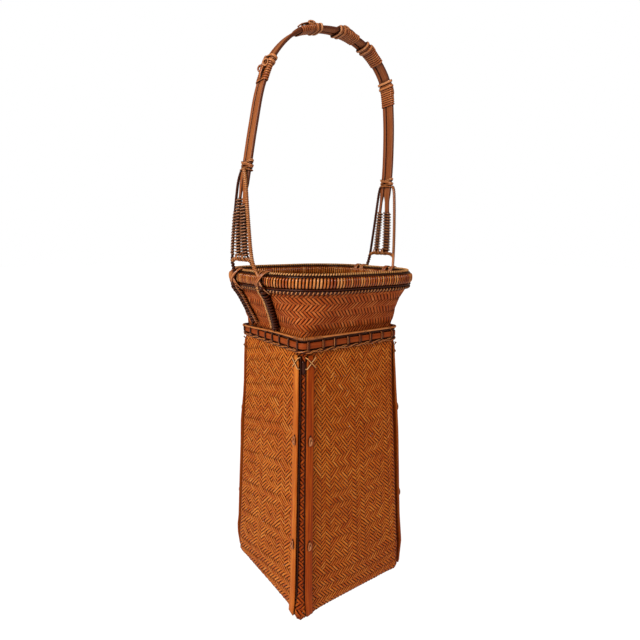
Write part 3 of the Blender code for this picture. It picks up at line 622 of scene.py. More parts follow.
# Ties: down over the band, each with a paler strand along its left edge, a painted highlight on its lit side
level, standOut = shoulder["tieRows"].T
dark, light = [], []
for tie in range(shoulder["tieCount"]):
    place = (tie + 0.5) / shoulder["tieCount"] * 4 + rng.uniform(*shoulder["tieStray"])
    lean = rng.uniform(*shoulder["tieLean"])
    for label, aside, bundle in (("tie", 0.0, dark), ("tieEdge", shoulder["tieEdgeAside"], light)):
        run = place + lean * np.linspace(0, 1, len(level)) + aside / (2 * bandHalf)
        corner = bandCorner + standOut + shoulder["tieCorner"]
        points, outs = squareAt(run, bandHalf + standOut, corner, level)
        bundle.append(lineOf(points, outs, *shoulder[label], rng.uniform(*shoulder[label + "Tones"])))
strandPiece("shoulderTies", dark, 8, 0.8, "darkRattan")
strandPiece("shoulderTieEdges", light, 6, 0.9, "tanRattan")

# Lacing under the band: a dark cord with thin strands that wave along it
count = shoulder["tieCount"] * 10
points, outs = ringAt(bandHalf + shoulder["lacingOut"], bandCorner + shoulder["lacingOut"],
                      shoulder["lacingHeight"], count)
strandPiece("shoulderLacing", [lineOf(points, outs, *shoulder["lacing"], 0.1)], 8, 0.9, "darkRattan",
            ("shoulder_lashing",), closed=True)
lines = []
for drop, turns, phase, tone in shoulder["laces"]:
    angle = angles(turns, count + 1) + phase
    wave = points + skyWard * (np.sin(angle) * shoulder["laceSwing"] + drop * mm)[:, None]
    wave = wave + outs * (shoulder["laceOut"] + np.cos(angle) * shoulder["laceWave"])[:, None]
    lines.append(lineOf(wave, outs, *shoulder["lace"], tone))
strandPiece("shoulderLaceStrands", lines, 6, 1.0, "tanRattan", closed=True)
print("shoulder done")


# Flat strips with their stitches, one near an end of each face

strip = {
    **inMm(width=7.6, foot=7, topDrop=15.5, tip=8, tipOver=2, seamDeep=1.1, seamIn=0.3,
           # the foot's last heights, and how far the first two of them turn in under the basket
           footRows=(0.9, 1.5, 2.8), footIn=(1.8, 0.5),
           stitchWide=2.8, stitchTall=7.2, stitchWave=0.3, secondPass=(2.0, 1.3), passAside=0.9, passOver=1.1,
           passIn=0.3, passDrop=1.6, passRise=2.2, hole=(3.2, 0.5), holeOut=0.02, holeUp=1.0, holeTall=4.6,
           crossWide=5.0, crossTall=10.5, crossCane=1.1, crossDrop=1.2, crossOver=0.5,
           patchLow=17, patchHigh=5, patchWide=5.5, patchDeep=1.2, patchIn=0.2),
    "stitchNarrows": 0.25, "splayPower": 1.5, "tipPower": 0.6, "ovalReach": 1.02,
    # where along its half a crossing stroke comes down to the wall, and how far below it its ends lie
    "crossEnd": 1.04, "crossFall": 0.14, "crossSink": -0.2,
    "crosses": {"front": "front_left", "left": "front_left", "right": "front_right", "back": "back_left"},
    # by face: its turn in quarters, the end that the strip runs at, which side that is as seen from outside,
    # the levels of its stitches, how far its foot splays, and how far it bows off the wall at some heights
    "faces": {
        "front": {"quarter": 0, "end": "left", "sign": -1, "stitches": (0.649, 0.277), **inMm(
            thickness=1.7, inset=3.8, splay=1.4, seam=0.4, stitchCane=1.6,
            bow=((0, 1.3), (8, 0.7), (22, 0.2), (262, 0.2)))},
        "left": {"quarter": 3, "end": "front", "sign": 1, "stitches": (0.649, 0.277), **inMm(
            thickness=1.7, inset=3.6, splay=2.4, seam=1.1, stitchCane=1.6,
            bow=((0, 3.0), (9, 1.8), (26, 0.4), (262, 0.2)))},
        "right": {"quarter": 1, "end": "front", "sign": -1, "stitches": (0.674, 0.318), **inMm(
            thickness=2.8, inset=3.8, splay=0, seam=0, stitchCane=3.0,
            bow=((0, 2.6), (12, 2.2), (31, 2.4), (60, 1.2), (104, 1.8), (157, 2.6), (190, 2.1), (208, 1.4),
                 (233, 0.1)))},
        "back": {"quarter": 2, "end": "left", "sign": 1, "stitches": (0.632, 0.267), **inMm(
            thickness=2.4, inset=2.8, splay=0, seam=0, stitchCane=3.4,
            bow=((2, 0.6), (19, 4.2), (40, 1.4), (60, 1.9), (88, 2.5), (126, 2.8), (153, 4.3), (180, 1.7),
                 (199, 1.4), (225, 1.8), (262, 0.5)))}}}
stripTop = bodyHeight - strip["topDrop"]


def facePoint(quarter, aside, outward, height):
    # aside runs to the right along the face as seen from outside
    aside, outward, height = np.broadcast_arrays(aside, outward, height)
    cos, sin = (1, 0, -1, 0)[quarter], (0, 1, 0, -1)[quarter]
    return np.stack([aside * cos + outward * sin, aside * sin - outward * cos, height], -1)


def stripAside(own, height):
    drawn = own["splay"] * (1 - np.clip(height / stripTop, 0, 1)) ** strip["splayPower"]
    return own["sign"] * (bodyHalf(height) - own["inset"] - strip["width"] / 2 - drawn)


def stripSkin(own, height):
    # Outer side of a strip
    return bodyHalf(height) + fit + np.interp(height, *own["bow"].T) + own["thickness"]


def oval(sweep):
    # The width of a patch as a share: full in its middle, small at its ends
    return np.sqrt(strip["ovalReach"] - sweep ** 2)


seams, crosses = [], {}
for face, own in strip["faces"].items():
    quarter, label = own["quarter"], face + "_" + own["end"]
    outward = facePoint(quarter, 0, 1, 0)
    # its foot bends in under the basket
    height = np.concatenate([own["thickness"] / 2 + strip["footRows"],
                             np.linspace(strip["foot"], stripTop, 44)])
    outs = np.tile(outward, (len(height), 1))
    middle = stripSkin(own, height) - own["thickness"] / 2
    middle[:2] -= strip["footIn"]
    outs[0] = -skyWard
    outs[1] = (outs[1] - skyWard) / math.sqrt(2)
    points = facePoint(quarter, stripAside(own, height), middle, height)
    # it narrows to a blunt tip
    toTip = np.clip((stripTop + strip["tipOver"] - height) / strip["tip"], 0, 1)
    width = strip["width"] * toTip ** strip["tipPower"]
    strandPiece("strip_" + label, [lineOf(points, outs, width, own["thickness"])], 12, 0.3, "stripBamboo",
                ("strip_%s_face_%s" % (face, own["end"]),))
    if own["seam"]:
        # a dark strand paints the shade in the gap on the corner's side
        beside = stripAside(own, height) + own["sign"] * (strip["width"] + own["seam"]) / 2
        points = facePoint(quarter, beside, bodyHalf(height) - strip["seamIn"], height)
        seams.append(lineOf(points, outward, own["seam"], strip["seamDeep"], 0.1))
    for level, share in zip(("upper", "lower"), own["stitches"]):
        middle, cane = share * bodyHeight, own["stitchCane"]
        angle = angles(1, 25)
        place, skin = stripAside(own, middle), stripSkin(own, middle)
        lift = skin + cane / 3
        # the loop narrows upward, and a second pass lies across its lower half
        wide = strip["stitchWide"] / 2 * (1 - strip["stitchNarrows"] * np.sin(angle))
        loop = facePoint(quarter, place + wide * np.cos(angle),
                         lift + strip["stitchWave"] * np.cos(2 * angle),
                         middle + strip["stitchTall"] / 2 * np.sin(angle))
        sweep = np.linspace(-1, 1, 9)
        second = facePoint(quarter, place + sweep * strip["passAside"],
                           lift + (1 - sweep ** 2) * strip["passOver"] - strip["passIn"],
                           middle - strip["passDrop"] + sweep * strip["passRise"])
        strandPiece("stitch_%s_%s" % (level, label),
                    [lineOf(loop, outward, cane, cane, 0.55),
                     lineOf(second, outward, *strip["secondPass"], 0.95)],
                    8, 0.9, "knotRattan", ("%s_knot_%s" % (level, label),))
        # a dark strand over the strip paints the shade in the slot that the stitch passes through
        sweep = np.linspace(-1, 1, 7)
        holeWide, holeDeep = strip["hole"]
        hole = facePoint(quarter, place, skin + strip["holeOut"],
                         middle + strip["holeUp"] + sweep * strip["holeTall"])
        seams.append(lineOf(hole, outward, holeWide * oval(sweep), holeDeep, 0))
    # two crossing strokes over the strip's top
    high = stripTop - strip["crossDrop"]
    place, cane = stripAside(own, high), strip["crossCane"]
    for lean, tone in ((1, 0.95), (-1, 0.8)):
        sweep = np.linspace(-1, 1, 15)
        over = stripSkin(own, high) - bodyHalf(high) + cane / 2 + (strip["crossOver"] if lean < 0 else 0)
        rise = np.clip((strip["crossEnd"] - np.abs(sweep)) / strip["crossFall"], strip["crossSink"], 1)
        points = facePoint(quarter, place + sweep * strip["crossWide"], bodyHalf(high) + over * rise,
                           high - strip["crossTall"] * (0.5 - 0.5 * lean * sweep))
        crosses.setdefault(strip["crosses"][face], []).append(
            lineOf(points, outward, cane, cane * caneFlat, tone))
for corner, lines in crosses.items():
    strandPiece("crossStitch_" + corner, lines, 8, 0.9, "paleRattan", ("cross_stitch_" + corner,))
# a dark strand paints the shade between the crossed stitches of the near corner
height = np.linspace(stripTop - strip["patchLow"], stripTop - strip["patchHigh"], 9)
half = bodyHalf(height)
points, outs = squareAt(0.0, half - strip["patchIn"], half * cornerRows[-2, 1], height)
seams.append(lineOf(points, outs, strip["patchWide"] * oval(np.linspace(-1, 1, 9)), strip["patchDeep"], 0))
# the dark strands gathered here are painted shade: in the gaps beside the strips, in the stitches' slots and
# between the near corner's crossed stitches
strandPiece("stripSeams", seams, 8, 0.9, "darkRattan")
print("strips done")


# Rim: two hoops, one cane wound round both, a twined pair beneath and a pale pair along the top; dark strands
# paint the shade in its furrows

rim = {
    **inMm(half=73.15, cornerLess=1, across=4.2, up=4.5, dip=1.8, dipPlace=2.1, dipWidth=0.9, width=2.25,
           thickness=2.0, hoop=(8.2, 2), hoopDrop=0.5, seam=1.6,
           # the dark strands that paint the shade in the furrows: reach beyond the mouth and height
           seams=((1.15, 314.3), (-3.2, 314.3), (1.9, 304.0)),
           # the pairs: height, reach beyond the mouth, offset of each cane, the pale cane and the dark cane,
           # which paints the shade between the pale turns
           under=(301.6, 0.5, 0.85, 1.6, 2.0), top=(316.2, -0.9, 0.55, 1.75, 1.3)),
    "turns": 188, "steps": 24, "squareness": 0.72, "tones": (0.1, 0.95), "widths": (0.9, 1.04),
    "dipRise": 1.6,
    # node, turns and the cane of each pair
    "pairs": {"under": ("rim_twining", 145, "tanRattan"), "top": ("rim_top_strand", 205, "paleRattan")}}
rimMiddle = (rimLow + rimTop) / 2
points, outs = ringAt(rim["half"], mouthCorner - rim["cornerLess"], rimMiddle, rim["turns"] * rim["steps"],
                      True)
angle = angles(rim["turns"], len(points))
at, away = aroundLine(points, outs, angle, rim["across"], rim["up"], rim["squareness"])
aside = ((at - points) * outs).sum(1)
at[:, 2] -= (rim["dip"] * bell(np.abs(aside) - rim["dipPlace"], rim["dipWidth"])
             * np.clip(np.sin(angle) * rim["dipRise"], 0, 1))


def byTurn(least, most):
    # A value that changes from turn to turn and comes round to its start
    drawn = rng.uniform(least, most, rim["turns"] + 1)
    drawn[-1] = drawn[0]
    return np.interp(np.linspace(0, rim["turns"], len(points)), range(rim["turns"] + 1), drawn)


tones = byTurn(*rim["tones"])
widths = rim["width"] * byTurn(*rim["widths"])
strandPiece("rimWinding", [lineOf(at, away, widths, rim["thickness"], tones)], 8, 0.95, "rimRattan",
            ("rim_binding",), closed=True)
for label, out in (("outer", 1), ("inner", -1)):
    middle = mouthHalf - form["wall"] / 2 + out * (form["wall"] / 2 + fit + rim["hoop"][1] / 2)
    points, outs = ringAt(middle, mouthCorner + middle - mouthHalf, rimMiddle - rim["hoopDrop"], pulled=True)
    strandPiece("rimHoop_" + label, [lineOf(points, outs, *rim["hoop"], 0.1)], 12, 0.4, "darkRattan",
                ("rim_%s_hoop" % label,), "hoop_bamboo", closed=True)
for label, (node, turns, paleCane) in rim["pairs"].items():
    height, out, offset, *canes = rim[label]
    points, outs = ringAt(mouthHalf + out, mouthCorner + out, height, turns * 10, True)
    # the dark cane of each pair paints the shade between the pale cane's turns
    for number, (start, tone, material, replaced) in enumerate((
            ("rimPair_", 0.85, paleCane, (node,)), ("rimPairDark_", 0.0, "darkRattan", ()))):
        at, away = aroundLine(points, outs, angles(turns, len(points)) + math.pi * number, offset, offset)
        strandPiece(start + label, [lineOf(at, away, canes[number], canes[number], tone)], 8, 1.0, material,
                    replaced, closed=True)
# dark strands paint the shade in the rim's furrows
lines = []
for out, height in rim["seams"]:
    points, outs = ringAt(mouthHalf + out, mouthCorner + out, height, pulled=True)
    lines.append(lineOf(points, outs, rim["seam"], rim["seam"], 0.1))
strandPiece("rimSeams", lines, 8, 1.0, "darkRattan", closed=True)
print("rim done")


# Handle arch

arch = {
    **inMm(span=89.6, footLift=15, rise=205, front=8.6, back=4.4, parting=1.2, thickness=3),
    "legShare": 0.68, "splayTop": 0.30, "legTop": 0.27, "splayPower": 1.6,
    # along the span and up the rise, as shares, from the left foot over to the right
    "shares": (
        (-0.915, 0.0), (-0.918, 0.09), (-0.908, 0.185), (-0.885, 0.28), (-0.846, 0.375),
        (-0.770, 0.547), (-0.686, 0.703), (-0.547, 0.837), (-0.301, 0.944), (0.022, 0.993),
        (0.335, 1.0), (0.603, 0.966), (0.815, 0.900), (0.943, 0.810), (0.990, 0.664),
        (1.0, 0.508), (0.990, 0.38), (0.958, 0.24), (0.938, 0.12), (0.920, 0.0)),
    # where the strips' feet lie across the arch
    "feet": {"left": inMm(front=-5.2, back=7.2), "right": inMm(front=-8.0, back=6.7)}}
archFoot = rimTop + arch["footLift"]
archLine = smoothLine([(x * arch["span"], 0, archFoot + z * arch["rise"]) for x, z in arch["shares"]], 12)
archLengths = lengthsOf(archLine)
archLength = archLengths[-1]
apexHeight = archFoot + arch["splayTop"] * arch["rise"]
legHeight = archFoot + arch["legTop"] * arch["rise"]
wholeWidth = arch["front"] + arch["parting"] + arch["back"]


def archPoint(distance):
    return pointsAt(distance, archLengths, archLine)


def archAt(distance):
    # Point and outward way at distances along the arch from its left foot
    step = 3 * mm
    way = unit(archPoint(np.minimum(distance + step, archLength)) - archPoint(np.maximum(distance - step, 0)))
    return archPoint(distance), np.stack([-way[..., 2], np.zeros_like(way[..., 0]), way[..., 0]], -1)


def legDistance(side, height):
    crown = int(np.argmax(archLine[:, 2]))
    part = slice(None, crown) if side == "left" else slice(None, crown, -1)
    return float(np.interp(height, archLine[part, 2], archLengths[part]))


def legX(side, height):
    return float(archPoint(legDistance(side, height))[0])


def stripAcross(part, side, height):
    # Middle of a strip across the arch: side by side above, parted on the legs
    near = -(wholeWidth - arch["front"]) / 2 if part == "front" else (wholeWidth - arch["back"]) / 2
    parted = np.clip((apexHeight - height) / (apexHeight - archFoot), 0, 1)
    return near + (arch["feet"][side][part] - near) * (1 - (1 - parted) ** arch["splayPower"])


for part, tone in (("front", 0.62), ("back", 0.4)):
    points, outs = archAt(np.linspace(0, archLength, 150))
    across = np.where(points[:, 0] < 0, stripAcross(part, "left", points[:, 2]),
                      stripAcross(part, "right", points[:, 2]))
    scale = 1 - (1 - arch["legShare"]) * np.clip((apexHeight - points[:, 2]) / (apexHeight - legHeight), 0, 1)
    points = points + backWard * across[:, None]
    strandPiece("handleStrip_" + part,
                [lineOf(points, outs, arch[part] * scale, arch["thickness"] * scale, tone)],
                16, 0.42, "handleBamboo", ("handle_%s_strip" % part,))


def coil(run, angle, halfAcross, halfDeep, squareness=0.62, middle=None):
    # A strand wound round the arch at these distances and angles; middle gives the core's place across it
    point, out = archAt(run)
    turn, rise = np.cos(angle), np.sin(angle)
    if middle:
        point = point + backWard * middle(point[:, 2])[:, None]
    at = (point + backWard * (squarish(turn, squareness) * halfAcross)[:, None]
          + out * (squarish(rise, squareness) * halfDeep)[:, None])
    return at, unit(backWard * turn[:, None] / halfAcross + out * rise[:, None] / halfDeep)


wound = {
    **inMm(pitch=2.1, cane=(1.85, 1.2), lift=(0.75, 0.8), broad=(2.5, 1.1), broadLift=(1.6, 1.7),
           broadSway=0.5, ringReach=2.9, ringRise=2.2, ringLift=1.2, ringCane=1.8, tail=(2.3, 1.1),
           tailStart=4, tailLong=15, tailLift=1.9, tailRise=1.4, crossTilt=2.3, crossCane=(1.05, 0.9)),
    # places along the arch, and the end at which each knot is broad
    "places": (0.3204, 0.4429, 0.5292, 0.5949, 0.678), "broadEnds": (1, 1, -1, -1, -1), "turns": 11,
    "broadTurns": ((1, 0.95), (5.5, 0.85)), "ringFlat": 0.72, "tailPower": 0.6,
    # along and across in millimetres, lean, size and tone; then across, drift and tone
    "rings": ((2.5, -4.6, 1.2, 1.0, 0.95), (6.0, -1.2, -1.0, 0.85, 0.8), (-1.5, 1.0, 1.6, 0.95, 0.7)),
    "tails": ((-4.2, 2.0, 0.7), (0.5, -3.0, 0.5)),
    # the legs' bindings: way along, tilt and reach in millimetres, and tone
    "crossPlaces": {"left": 0.1535, "right": 0.8542},
    "crossed": ((-2.6, 1, 0.9, 0.95), (-1.5, 1, 0.8, 0.8), (-2.2, -1, 1.5, 0.9), (-1.1, -1, 1.3, 0.7)),
    "below": ((0.9, 0.1, 0.6, 0.5), (2.2, 0.2, 0.9, 0.8), (3.6, -0.2, 1.6, 0.6))}
halfWide, halfDeep = wholeWidth / 2, arch["thickness"] / 2
for number, (place, end) in enumerate(zip(wound["places"], wound["broadEnds"]), 1):
    middle, long = place * archLength, wound["turns"] * wound["pitch"]
    run = middle + np.linspace(-long / 2, long / 2, wound["turns"] * 20 + 1)
    wide, deep = wound["lift"]
    at, away = coil(run, angles(wound["turns"], len(run)), halfWide + wide, halfDeep + deep)
    tones = np.interp(run, np.linspace(run[0], run[-1], 24), rng.uniform(0.15, 0.7, 24))
    lines = [lineOf(at, away, *wound["cane"], tones)]
    # two broad turns lie over one end
    angle = angles(1, 33)
    wide, deep = wound["broadLift"]
    for shift, tone in wound["broadTurns"]:
        run = middle + end * (long / 2 - shift * mm) + wound["broadSway"] * np.cos(angle)
        lines.append(lineOf(*coil(run, angle, halfWide + wide, halfDeep + deep), *wound["broad"], tone))
    # raised rings stand on the outer side, with flat ends that run back along the turns
    for shift, across, lean, size, tone in wound["rings"]:
        centre, out = archAt(middle + end * (shift * mm + np.cos(angle) * wound["ringReach"] * size))
        rise = wound["ringRise"] * size * (1 + np.sin(angle)) * wound["ringFlat"]
        height = halfDeep + wound["ringLift"] + rise
        across = (across + lean * np.sin(angle)) * mm
        points = centre + out * height[:, None] + backWard * across[:, None]
        lines.append(lineOf(points, -backWard, wound["ringCane"], wound["ringCane"] * caneFlat, tone))
    sweep = np.linspace(0, 1, 17)
    for across, drift, tone in wound["tails"]:
        centre, out = archAt(middle + end * (wound["tailStart"] - wound["tailLong"] * sweep))
        rise = wound["tailRise"] * np.sin(math.pi * sweep) ** wound["tailPower"]
        height = halfDeep + wound["tailLift"] + rise
        points = centre + out * height[:, None] + backWard * ((across + drift * sweep) * mm)[:, None]
        lines.append(lineOf(points, out, *wound["tail"], tone))
    strandPiece("handleKnot_%d" % number, lines, 8, 0.85, "knotRattan", ("handle_knot_%d" % number,))

for side, place in wound["crossPlaces"].items():
    angle = angles(1, 33)
    for label, rows, material, replaced in (
            ("crossBinding_", "crossed", "knotRattan", ("cross_binding_" + side,)),
            ("darkBinding_", "below", "brownRattan", ())):
        lines = []
        for shift, tilt, wide, tone in wound[rows]:
            run = place * archLength + wayOut[side] * (shift * mm + wound["crossTilt"] * tilt * np.cos(angle))
            lines.append(lineOf(*coil(run, angle, halfWide + wide * mm, halfDeep + wide * mm),
                                *wound["crossCane"], tone))
        strandPiece(label + side, lines, 8, 0.9, material, replaced, "pale_rattan")

leg = {
    **inMm(cane=(1.55, 2.2), lift=(0.9, 1.0), lining=1.0), "squareness": 0.75,
    # turns, with pitch and start above the arch's foot in millimetres
    "windings": {("left", "front"): (17, 2.6, 0.4), ("left", "back"): (19, 2.6, 0.8),
                 ("right", "front"): (14, 2.85, 3.0), ("right", "back"): (14, 2.85, 3.6)}}
sleeves = []
for (side, part), (turns, pitch, start) in leg["windings"].items():
    angle = angles(turns, turns * 20 + 1)
    run = legDistance(side, archFoot + start * mm) - wayOut[side] * angle / fullTurn * pitch * mm
    wide, deep = leg["lift"]
    at, away = coil(run, angle, arch["legShare"] * arch[part] / 2 + wide, arch["legShare"] * halfDeep + deep,
                    leg["squareness"], lambda height: stripAcross(part, side, height))
    label = side + "_" + part
    strandPiece("legWinding_" + label, [lineOf(at, away, *leg["cane"], 0.5)], 8, 0.95, "legRattan",
                ("leg_winding_" + label,))
    # a dark strand paints the shade between strip and winding
    point, out = archAt(np.linspace(run[0], run[-1], 24))
    point = point + backWard * stripAcross(part, side, point[:, 2])[:, None]
    width, thickness = (arch["legShare"] * arch[size] + leg["lining"] for size in (part, "thickness"))
    sleeves.append(lineOf(point, out, width, thickness, 0.1))
strandPiece("legLinings", sleeves, 12, 0.6, "darkRattan")
print("handle done")


# Rods from the handle over the rim to the shoulder, with their windings, yokes and lashings

rod = {
    **inMm(reach=22, midHeight=360, off=1.7, yokeDrop=1.9, overYoke=2, rimOuter=78.0, underRim=1.8,
           rimOut=3.3, bindingEnd=3.6, leftBackTop=370,
           # pitch, lift from the rod and size of the dark cord's two windings, and where each starts
           cord=(2.6, 0.1, 1.4), neckCord=(3.4, 1.0, 2.7), cordStart=1, tanCordStart=3, neckStart=1,
           besideOut=0.2, twist=(4.4, 1.0)),
    "neckShares": (0.6, 0.2), "flat": 0.9, "yokeLift": inMm(left=-0.6, right=2.6),
    # places across as shares of the reach, and how far out the two highest points stand, in millimetres
    "lines": {
        "left_front": ((-0.18, -0.34, -0.55, -0.80, -1.05, -1.35, -1.20, -0.74, -0.50), (4.2, 2.6)),
        "left_back": ((0.41, 0.56, 0.68, 0.92, 0.98, 1.08, 1.18, 1.30, 1.34), (0.5, 0.3)),
        "right_front": ((-0.44, -0.60, -0.80, -0.90, -1.02, -1.18, -1.16, -1.0, -0.92), (0, 0)),
        "right_back": ((0.41, 0.48, 0.60, 0.78, 0.88, 1.06, 1.08, 0.96, 0.90), (0, 0))},
    # strands wound on the rods above the yoke, fine and pale on the left, few and dark on the right: pitch
    # and size in millimetres, tone and cane
    "strands": {"left_front": (1.6, 1.0, 0.8, "tanRattan"), "left_back": (2.6, 1.7, 0.6, "legRattan"),
                "right_front": (2.2, 0.6, 0.3, "darkRattan"), "right_back": (2.6, 0.7, 0.4, "darkRattan")},
    "parts": {"front": {**inMm(cane=3.0, beside=6.6, twistCane=1.9), "tone": 0.6, "look": "tanRattan",
                        "twistLook": "paleRattan"},
              "back": {**inMm(cane=2.7, beside=-5.0, twistCane=1.3), "tone": 0.3, "look": "darkRattan",
                       "twistLook": "brownRattan"}}}
yoke = {
    **inMm(core=(2.8, 2.4), pitch=5.2, radius=1.4, cane=1.1, loop=(1.3, 0.9), slant=1.5, loopRadius=3.0,
           loopLift=1.2, drops=(3.4, 0.6, 0, 0.4, 2.6)), "bend": 0.72,
    # first angle and tone of the canes round the bar; place across in millimetres and tone of those that hang
    "canes": ((0, 0.9), (1.0, 0.5), (3.6, 0.7)),
    "loops": ((-6.5, 0.9), (-4.2, 0.5), (5.2, 0.8), (7.6, 0.45), (0.5, 0.7))}
lashing = {
    **inMm(middleOut=73, cane=(1.15, 1.0), over=0.8, beside=(-1.9, -0.65, 0.65, 1.9),
           # from inside the rim to under it: out from the middle, across and up
           rows=((68.9, 4.8, 308), (69.4, 4.8, 314.5), (73.5, 4.7, 318.0), (78.4, 4.0, 316.2),
                 (80.9, 1.9, 311.8), (81.1, -1.9, 307.6), (79.2, -4.0, 303.4), (76.4, -4.8, 300.8),
                 (73.6, -4.9, 298.8)))}
yokeHeight = archFoot - rod["yokeDrop"]


def rodLine(side, part):
    # The binding's lower end, the arch's parting, the yoke, over the rim and down the neck to the hoop
    places, standOut = rod["lines"][side + "_" + part]
    binding = wound["crossPlaces"][side] * archLength + wayOut[side] * rod["bindingEnd"]
    highest = float(archPoint(binding)[2])
    levels = [bodyHeight + share * form["neckRise"] for share in rod["neckShares"]]
    levels.append(hoopHeight + shoulder["hoop"] / 2 + rod["off"])
    rows = [(height, abs(legX(side, height)) + out * mm)
            for height, out in zip((highest, apexHeight), standOut)]
    rows += [(rod["midHeight"], abs(legX(side, rod["midHeight"]))), (yokeHeight, abs(legX(side, archFoot))),
             (rimTop, rod["rimOuter"] + rod["off"]),
             (rimLow - rod["underRim"], mouthHalf + rod["rimOut"] + rod["off"])]
    rows += [(height, float(np.interp(height, neckRows[:, 0], neckRows[:, 1])) + rod["off"] + 2 * fit)
             for height in levels]
    return smoothLine([(wayOut[side] * x, share * rod["reach"], height)
                       for (height, x), share in zip(rows, places)], 8)


for side in ("left", "right"):
    outward = np.array((float(wayOut[side]), 0, 0))
    yokeEnds = []
    for part, own in rod["parts"].items():
        label, cane = side + "_" + part, own["cane"]
        points = rodLine(side, part)
        level = points[:, 2]
        strandPiece("rod_" + label, [lineOf(points, outward, cane, cane * rod["flat"], own["tone"])], 10, 1.0,
                    own["look"], ("rod_" + label,), "brown_rattan")
        upper = level > (rimTop if label == "left_front" else yokeHeight + rod["overYoke"])
        if label == "left_back":
            upper = upper & (level < rod["leftBackTop"])
        pitch, size, tone, material = rod["strands"][label]
        lines = [woundOn(points[upper], outward, pitch * mm, cane / 2, size * mm, tone)]
        strandPiece("rodStrand_" + label, lines, 6, 1.0, material, slot="pale_rattan")
        # the cord below: a thick dark winding, with a twisted pair beside it
        start = rimTop - rod["tanCordStart"] if part == "front" else yokeHeight + rod["cordStart"]
        lower = points[level < start]
        onNeck = points[level < rimLow + rod["neckStart"]]
        lines = [woundOn(run, outward, pitch, cane / 2 + lift, size, tone)
                 for run, (pitch, lift, size), tone in (
                     (lower, rod["cord"], 0.35), (onNeck, rod["neckCord"], 0.3))]
        strandPiece("neckCord_" + label, lines, 8, 1.0, "darkRattan")
        beside = onNeck + backWard * own["beside"] + outward * rod["besideOut"]
        lines = [woundOn(beside, outward, *rod["twist"], own["twistCane"], tone, phase)
                 for tone, phase in ((0.85, 0), (0.5, math.pi))]
        strandPiece("neckTwist_" + label, lines, 6, 1.0, own["twistLook"], slot="pale_rattan")
        yokeEnds.append(points[np.argmin(np.abs(level - yokeHeight))])

    # yoke: a bar between the rods under the leg, wound with canes, and canes that hang round it from the leg
    (frontX, front, _), (backX, back, _) = yokeEnds
    middle, height = legX(side, archFoot), yokeHeight + rod["yokeLift"][side]
    points = smoothLine([(x, y, height - drop) for x, y, drop in zip(
        (frontX, middle, middle, middle, backX), (front, front * yoke["bend"], 0, back * yoke["bend"], back),
        yoke["drops"])], 8)
    strandPiece("yokeCore_" + side, [lineOf(points, outward, *yoke["core"], 0.2)], 8, 1.0, "darkRattan")
    lines = [woundOn(points, outward, yoke["pitch"], yoke["radius"], yoke["cane"], tone, phase)
             for phase, tone in yoke["canes"]]
    angle = angles(1, 25)
    away = np.stack([np.cos(angle), 0 * angle, np.sin(angle)], 1)
    for across, tone in yoke["loops"]:
        points = away * yoke["loopRadius"] + (middle, 0, height + yoke["loopLift"])
        points[:, 1] = across * mm + yoke["slant"] * np.sin(angle)
        lines.append(lineOf(points, away, *yoke["loop"], tone))
    strandPiece("yoke_" + side, lines, 8, 0.95, "tanRattan", ("yoke_" + side,))

    # lashing: four canes each way cross over each rod
    lines = []
    for part in rod["parts"]:
        places = rod["lines"][side + "_" + part][0]
        rodY = (places[4] + places[5]) / 2 * rod["reach"]
        centre = np.array((wayOut[side] * lashing["middleOut"], rodY, rimMiddle))
        for lean in (1, -1):
            for beside in lashing["beside"]:
                rows = lashing["rows"] * (wayOut[side], lean, 1) + (0, rodY + beside, 0)
                if lean < 0:
                    rows[4:6, 0] += wayOut[side] * lashing["over"]
                points = smoothLine(rows, 4)
                away = unit((points - centre) * (1, 0, 1))
                lines.append(lineOf(points, away, *lashing["cane"], rng.uniform(0.1, 1.0)))
    strandPiece("rimLashing_" + side, lines, 8, 0.9, "knotRattan", ("rim_lashing_" + side,))
print("rods done")


# Water tube, loose inside the body

tube = {**inMm(radius=30, wall=3, height=190, floor=5, ridge=(2.2, 1.4), ridgeIn=0.2, floorLow=0.1),
        "ridges": (0.3, 0.78)}
seat = form["wall"] + fit
turn = angles(1, 97)
outs = np.stack([np.cos(turn), np.sin(turn), np.zeros(97)], 1)


def tubeRing(radius, level, tall, thickness, tone):
    return lineOf(outs * radius + skyWard * (seat + level), outs, tall, thickness, tone)


rings = [tubeRing(tube["radius"] - tube["wall"] / 2, tube["height"] / 2, tube["height"], tube["wall"], 0.5)]
for share in tube["ridges"]:
    rings.append(tubeRing(tube["radius"] - tube["ridgeIn"], tube["height"] * share, *tube["ridge"], 0.2))
strandPiece("tubeCulm", rings, 16, 0.25, "culmBamboo", ("water_tube",), body="water_tube", closed=True)
points = skyWard * (seat + np.linspace(tube["floorLow"], tube["floor"], 4))[:, None]
bore = 2 * (tube["radius"] - tube["wall"])
strandPiece("tubeFloor", [lineOf(points, (1.0, 0, 0), bore, bore)], 48, 1.0, "culmBamboo", body="water_tube")
print("tube done")


# Stage, light and camera

stage = {"size": 6, "shadowShare": 0.1, "white": 1.15, "skyStrength": 0.3, "skyTint": "#ffd8b8",
         "key": ((-1.5, -0.55, 1.3), 0.7, 32, "#fff6ec"), "fill": ((0.7, -1.9, 0.9), 1.6, 6, "#ffe2cc")}
floorLook = bpy.data.materials.new("paleFloor")
floorLook.use_nodes = True
tree = floorLook.node_tree
tree.nodes.clear()
seen = addNode(tree, "LightPath", out="Is Camera Ray")
seen = addNode(tree, "Math", {0: seen, 1: 1 - stage["shadowShare"]}, {"operation": "MULTIPLY"})
paper = addNode(tree, "BsdfDiffuse", {"Color": linear("#f2f2f2")})
white = addNode(tree, "Emission", {"Strength": stage["white"]})
addNode(tree, "OutputMaterial", {0: addNode(tree, "MixShader", {0: seen, 1: paper, 2: white})})
build = bmesh.new()
bmesh.ops.create_grid(build, x_segments=1, y_segments=1, size=stage["size"])
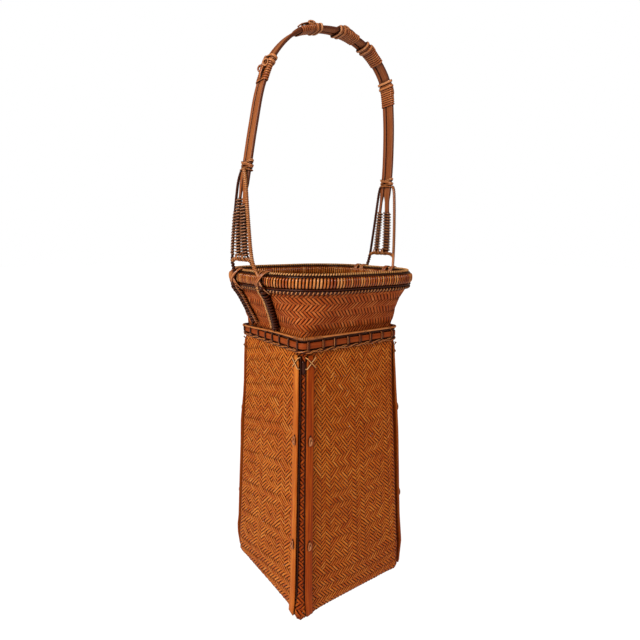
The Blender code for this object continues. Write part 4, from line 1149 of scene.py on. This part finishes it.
floor = bpy.data.objects.new("floor", bpy.data.meshes.new("floor"))
build.to_mesh(floor.data)
build.free()
floor.data.materials.append(floorLook)
bpy.context.scene.collection.objects.link(floor)

studio = bpy.data.worlds.new("studio")
bpy.context.scene.world = studio
studio.use_nodes = True
tree = studio.node_tree
tree.nodes.clear()
seen, through = (addNode(tree, "LightPath", out="Is %s Ray" % kind) for kind in ("Camera", "Transmission"))
shown = addNode(tree, "Math", {0: seen, 1: through}, {"operation": "MAXIMUM"})
strength = addNode(tree, "MapRange", {0: shown, 3: stage["skyStrength"], 4: 1.0})
tint = addNode(tree, "Mix", {0: shown, 6: linear(stage["skyTint"]), 7: (1, 1, 1, 1)},
               {"data_type": "RGBA"}, out=2)
sky = addNode(tree, "Background", {0: tint, 1: strength})
addNode(tree, "OutputWorld", {0: sky})

for name in ("key", "fill"):
    place, size, power, colour = stage[name]
    data = bpy.data.lights.new(name + "Light", "AREA")
    data.shape = "DISK"
    data.size = size
    data.energy = power
    data.color = linear(colour)[:3]
    lamp = bpy.data.objects.new(name + "Light", data)
    lamp.location = place
    lamp.rotation_mode = "QUATERNION"
    lamp.rotation_quaternion = (Vector((0, 0, 0.25)) - Vector(place)).to_track_quat("-Z", "Y")
    bpy.context.scene.collection.objects.link(lamp)

view = {"lens": 27.2, "sensor": 36, "yaw": -35.67, "pitch": 9.63, "roll": 0.36,
        "place": (-276.7 * mm, -389.3 * mm, 346.2 * mm)}
yaw, pitch, roll = (math.radians(view[name]) for name in ("yaw", "pitch", "roll"))
forward = Vector((-math.sin(yaw) * math.cos(pitch), math.cos(yaw) * math.cos(pitch), -math.sin(pitch)))
level = Vector((math.cos(yaw), math.sin(yaw), 0))
upright = level.cross(forward)
right = level * math.cos(roll) + upright * math.sin(roll)
upright = upright * math.cos(roll) - level * math.sin(roll)
camera = bpy.data.objects.new("camera", bpy.data.cameras.new("camera"))
camera.data.lens = view["lens"]
camera.data.sensor_width = view["sensor"]
camera.data.clip_start = 20 * mm
camera.matrix_world = Matrix.LocRotScale(
    Vector(view["place"]), Matrix((right, upright, -forward)).transposed(), None)
bpy.context.scene.collection.objects.link(camera)
bpy.context.scene.camera = camera
bpy.context.scene.view_settings.view_transform = "Standard"
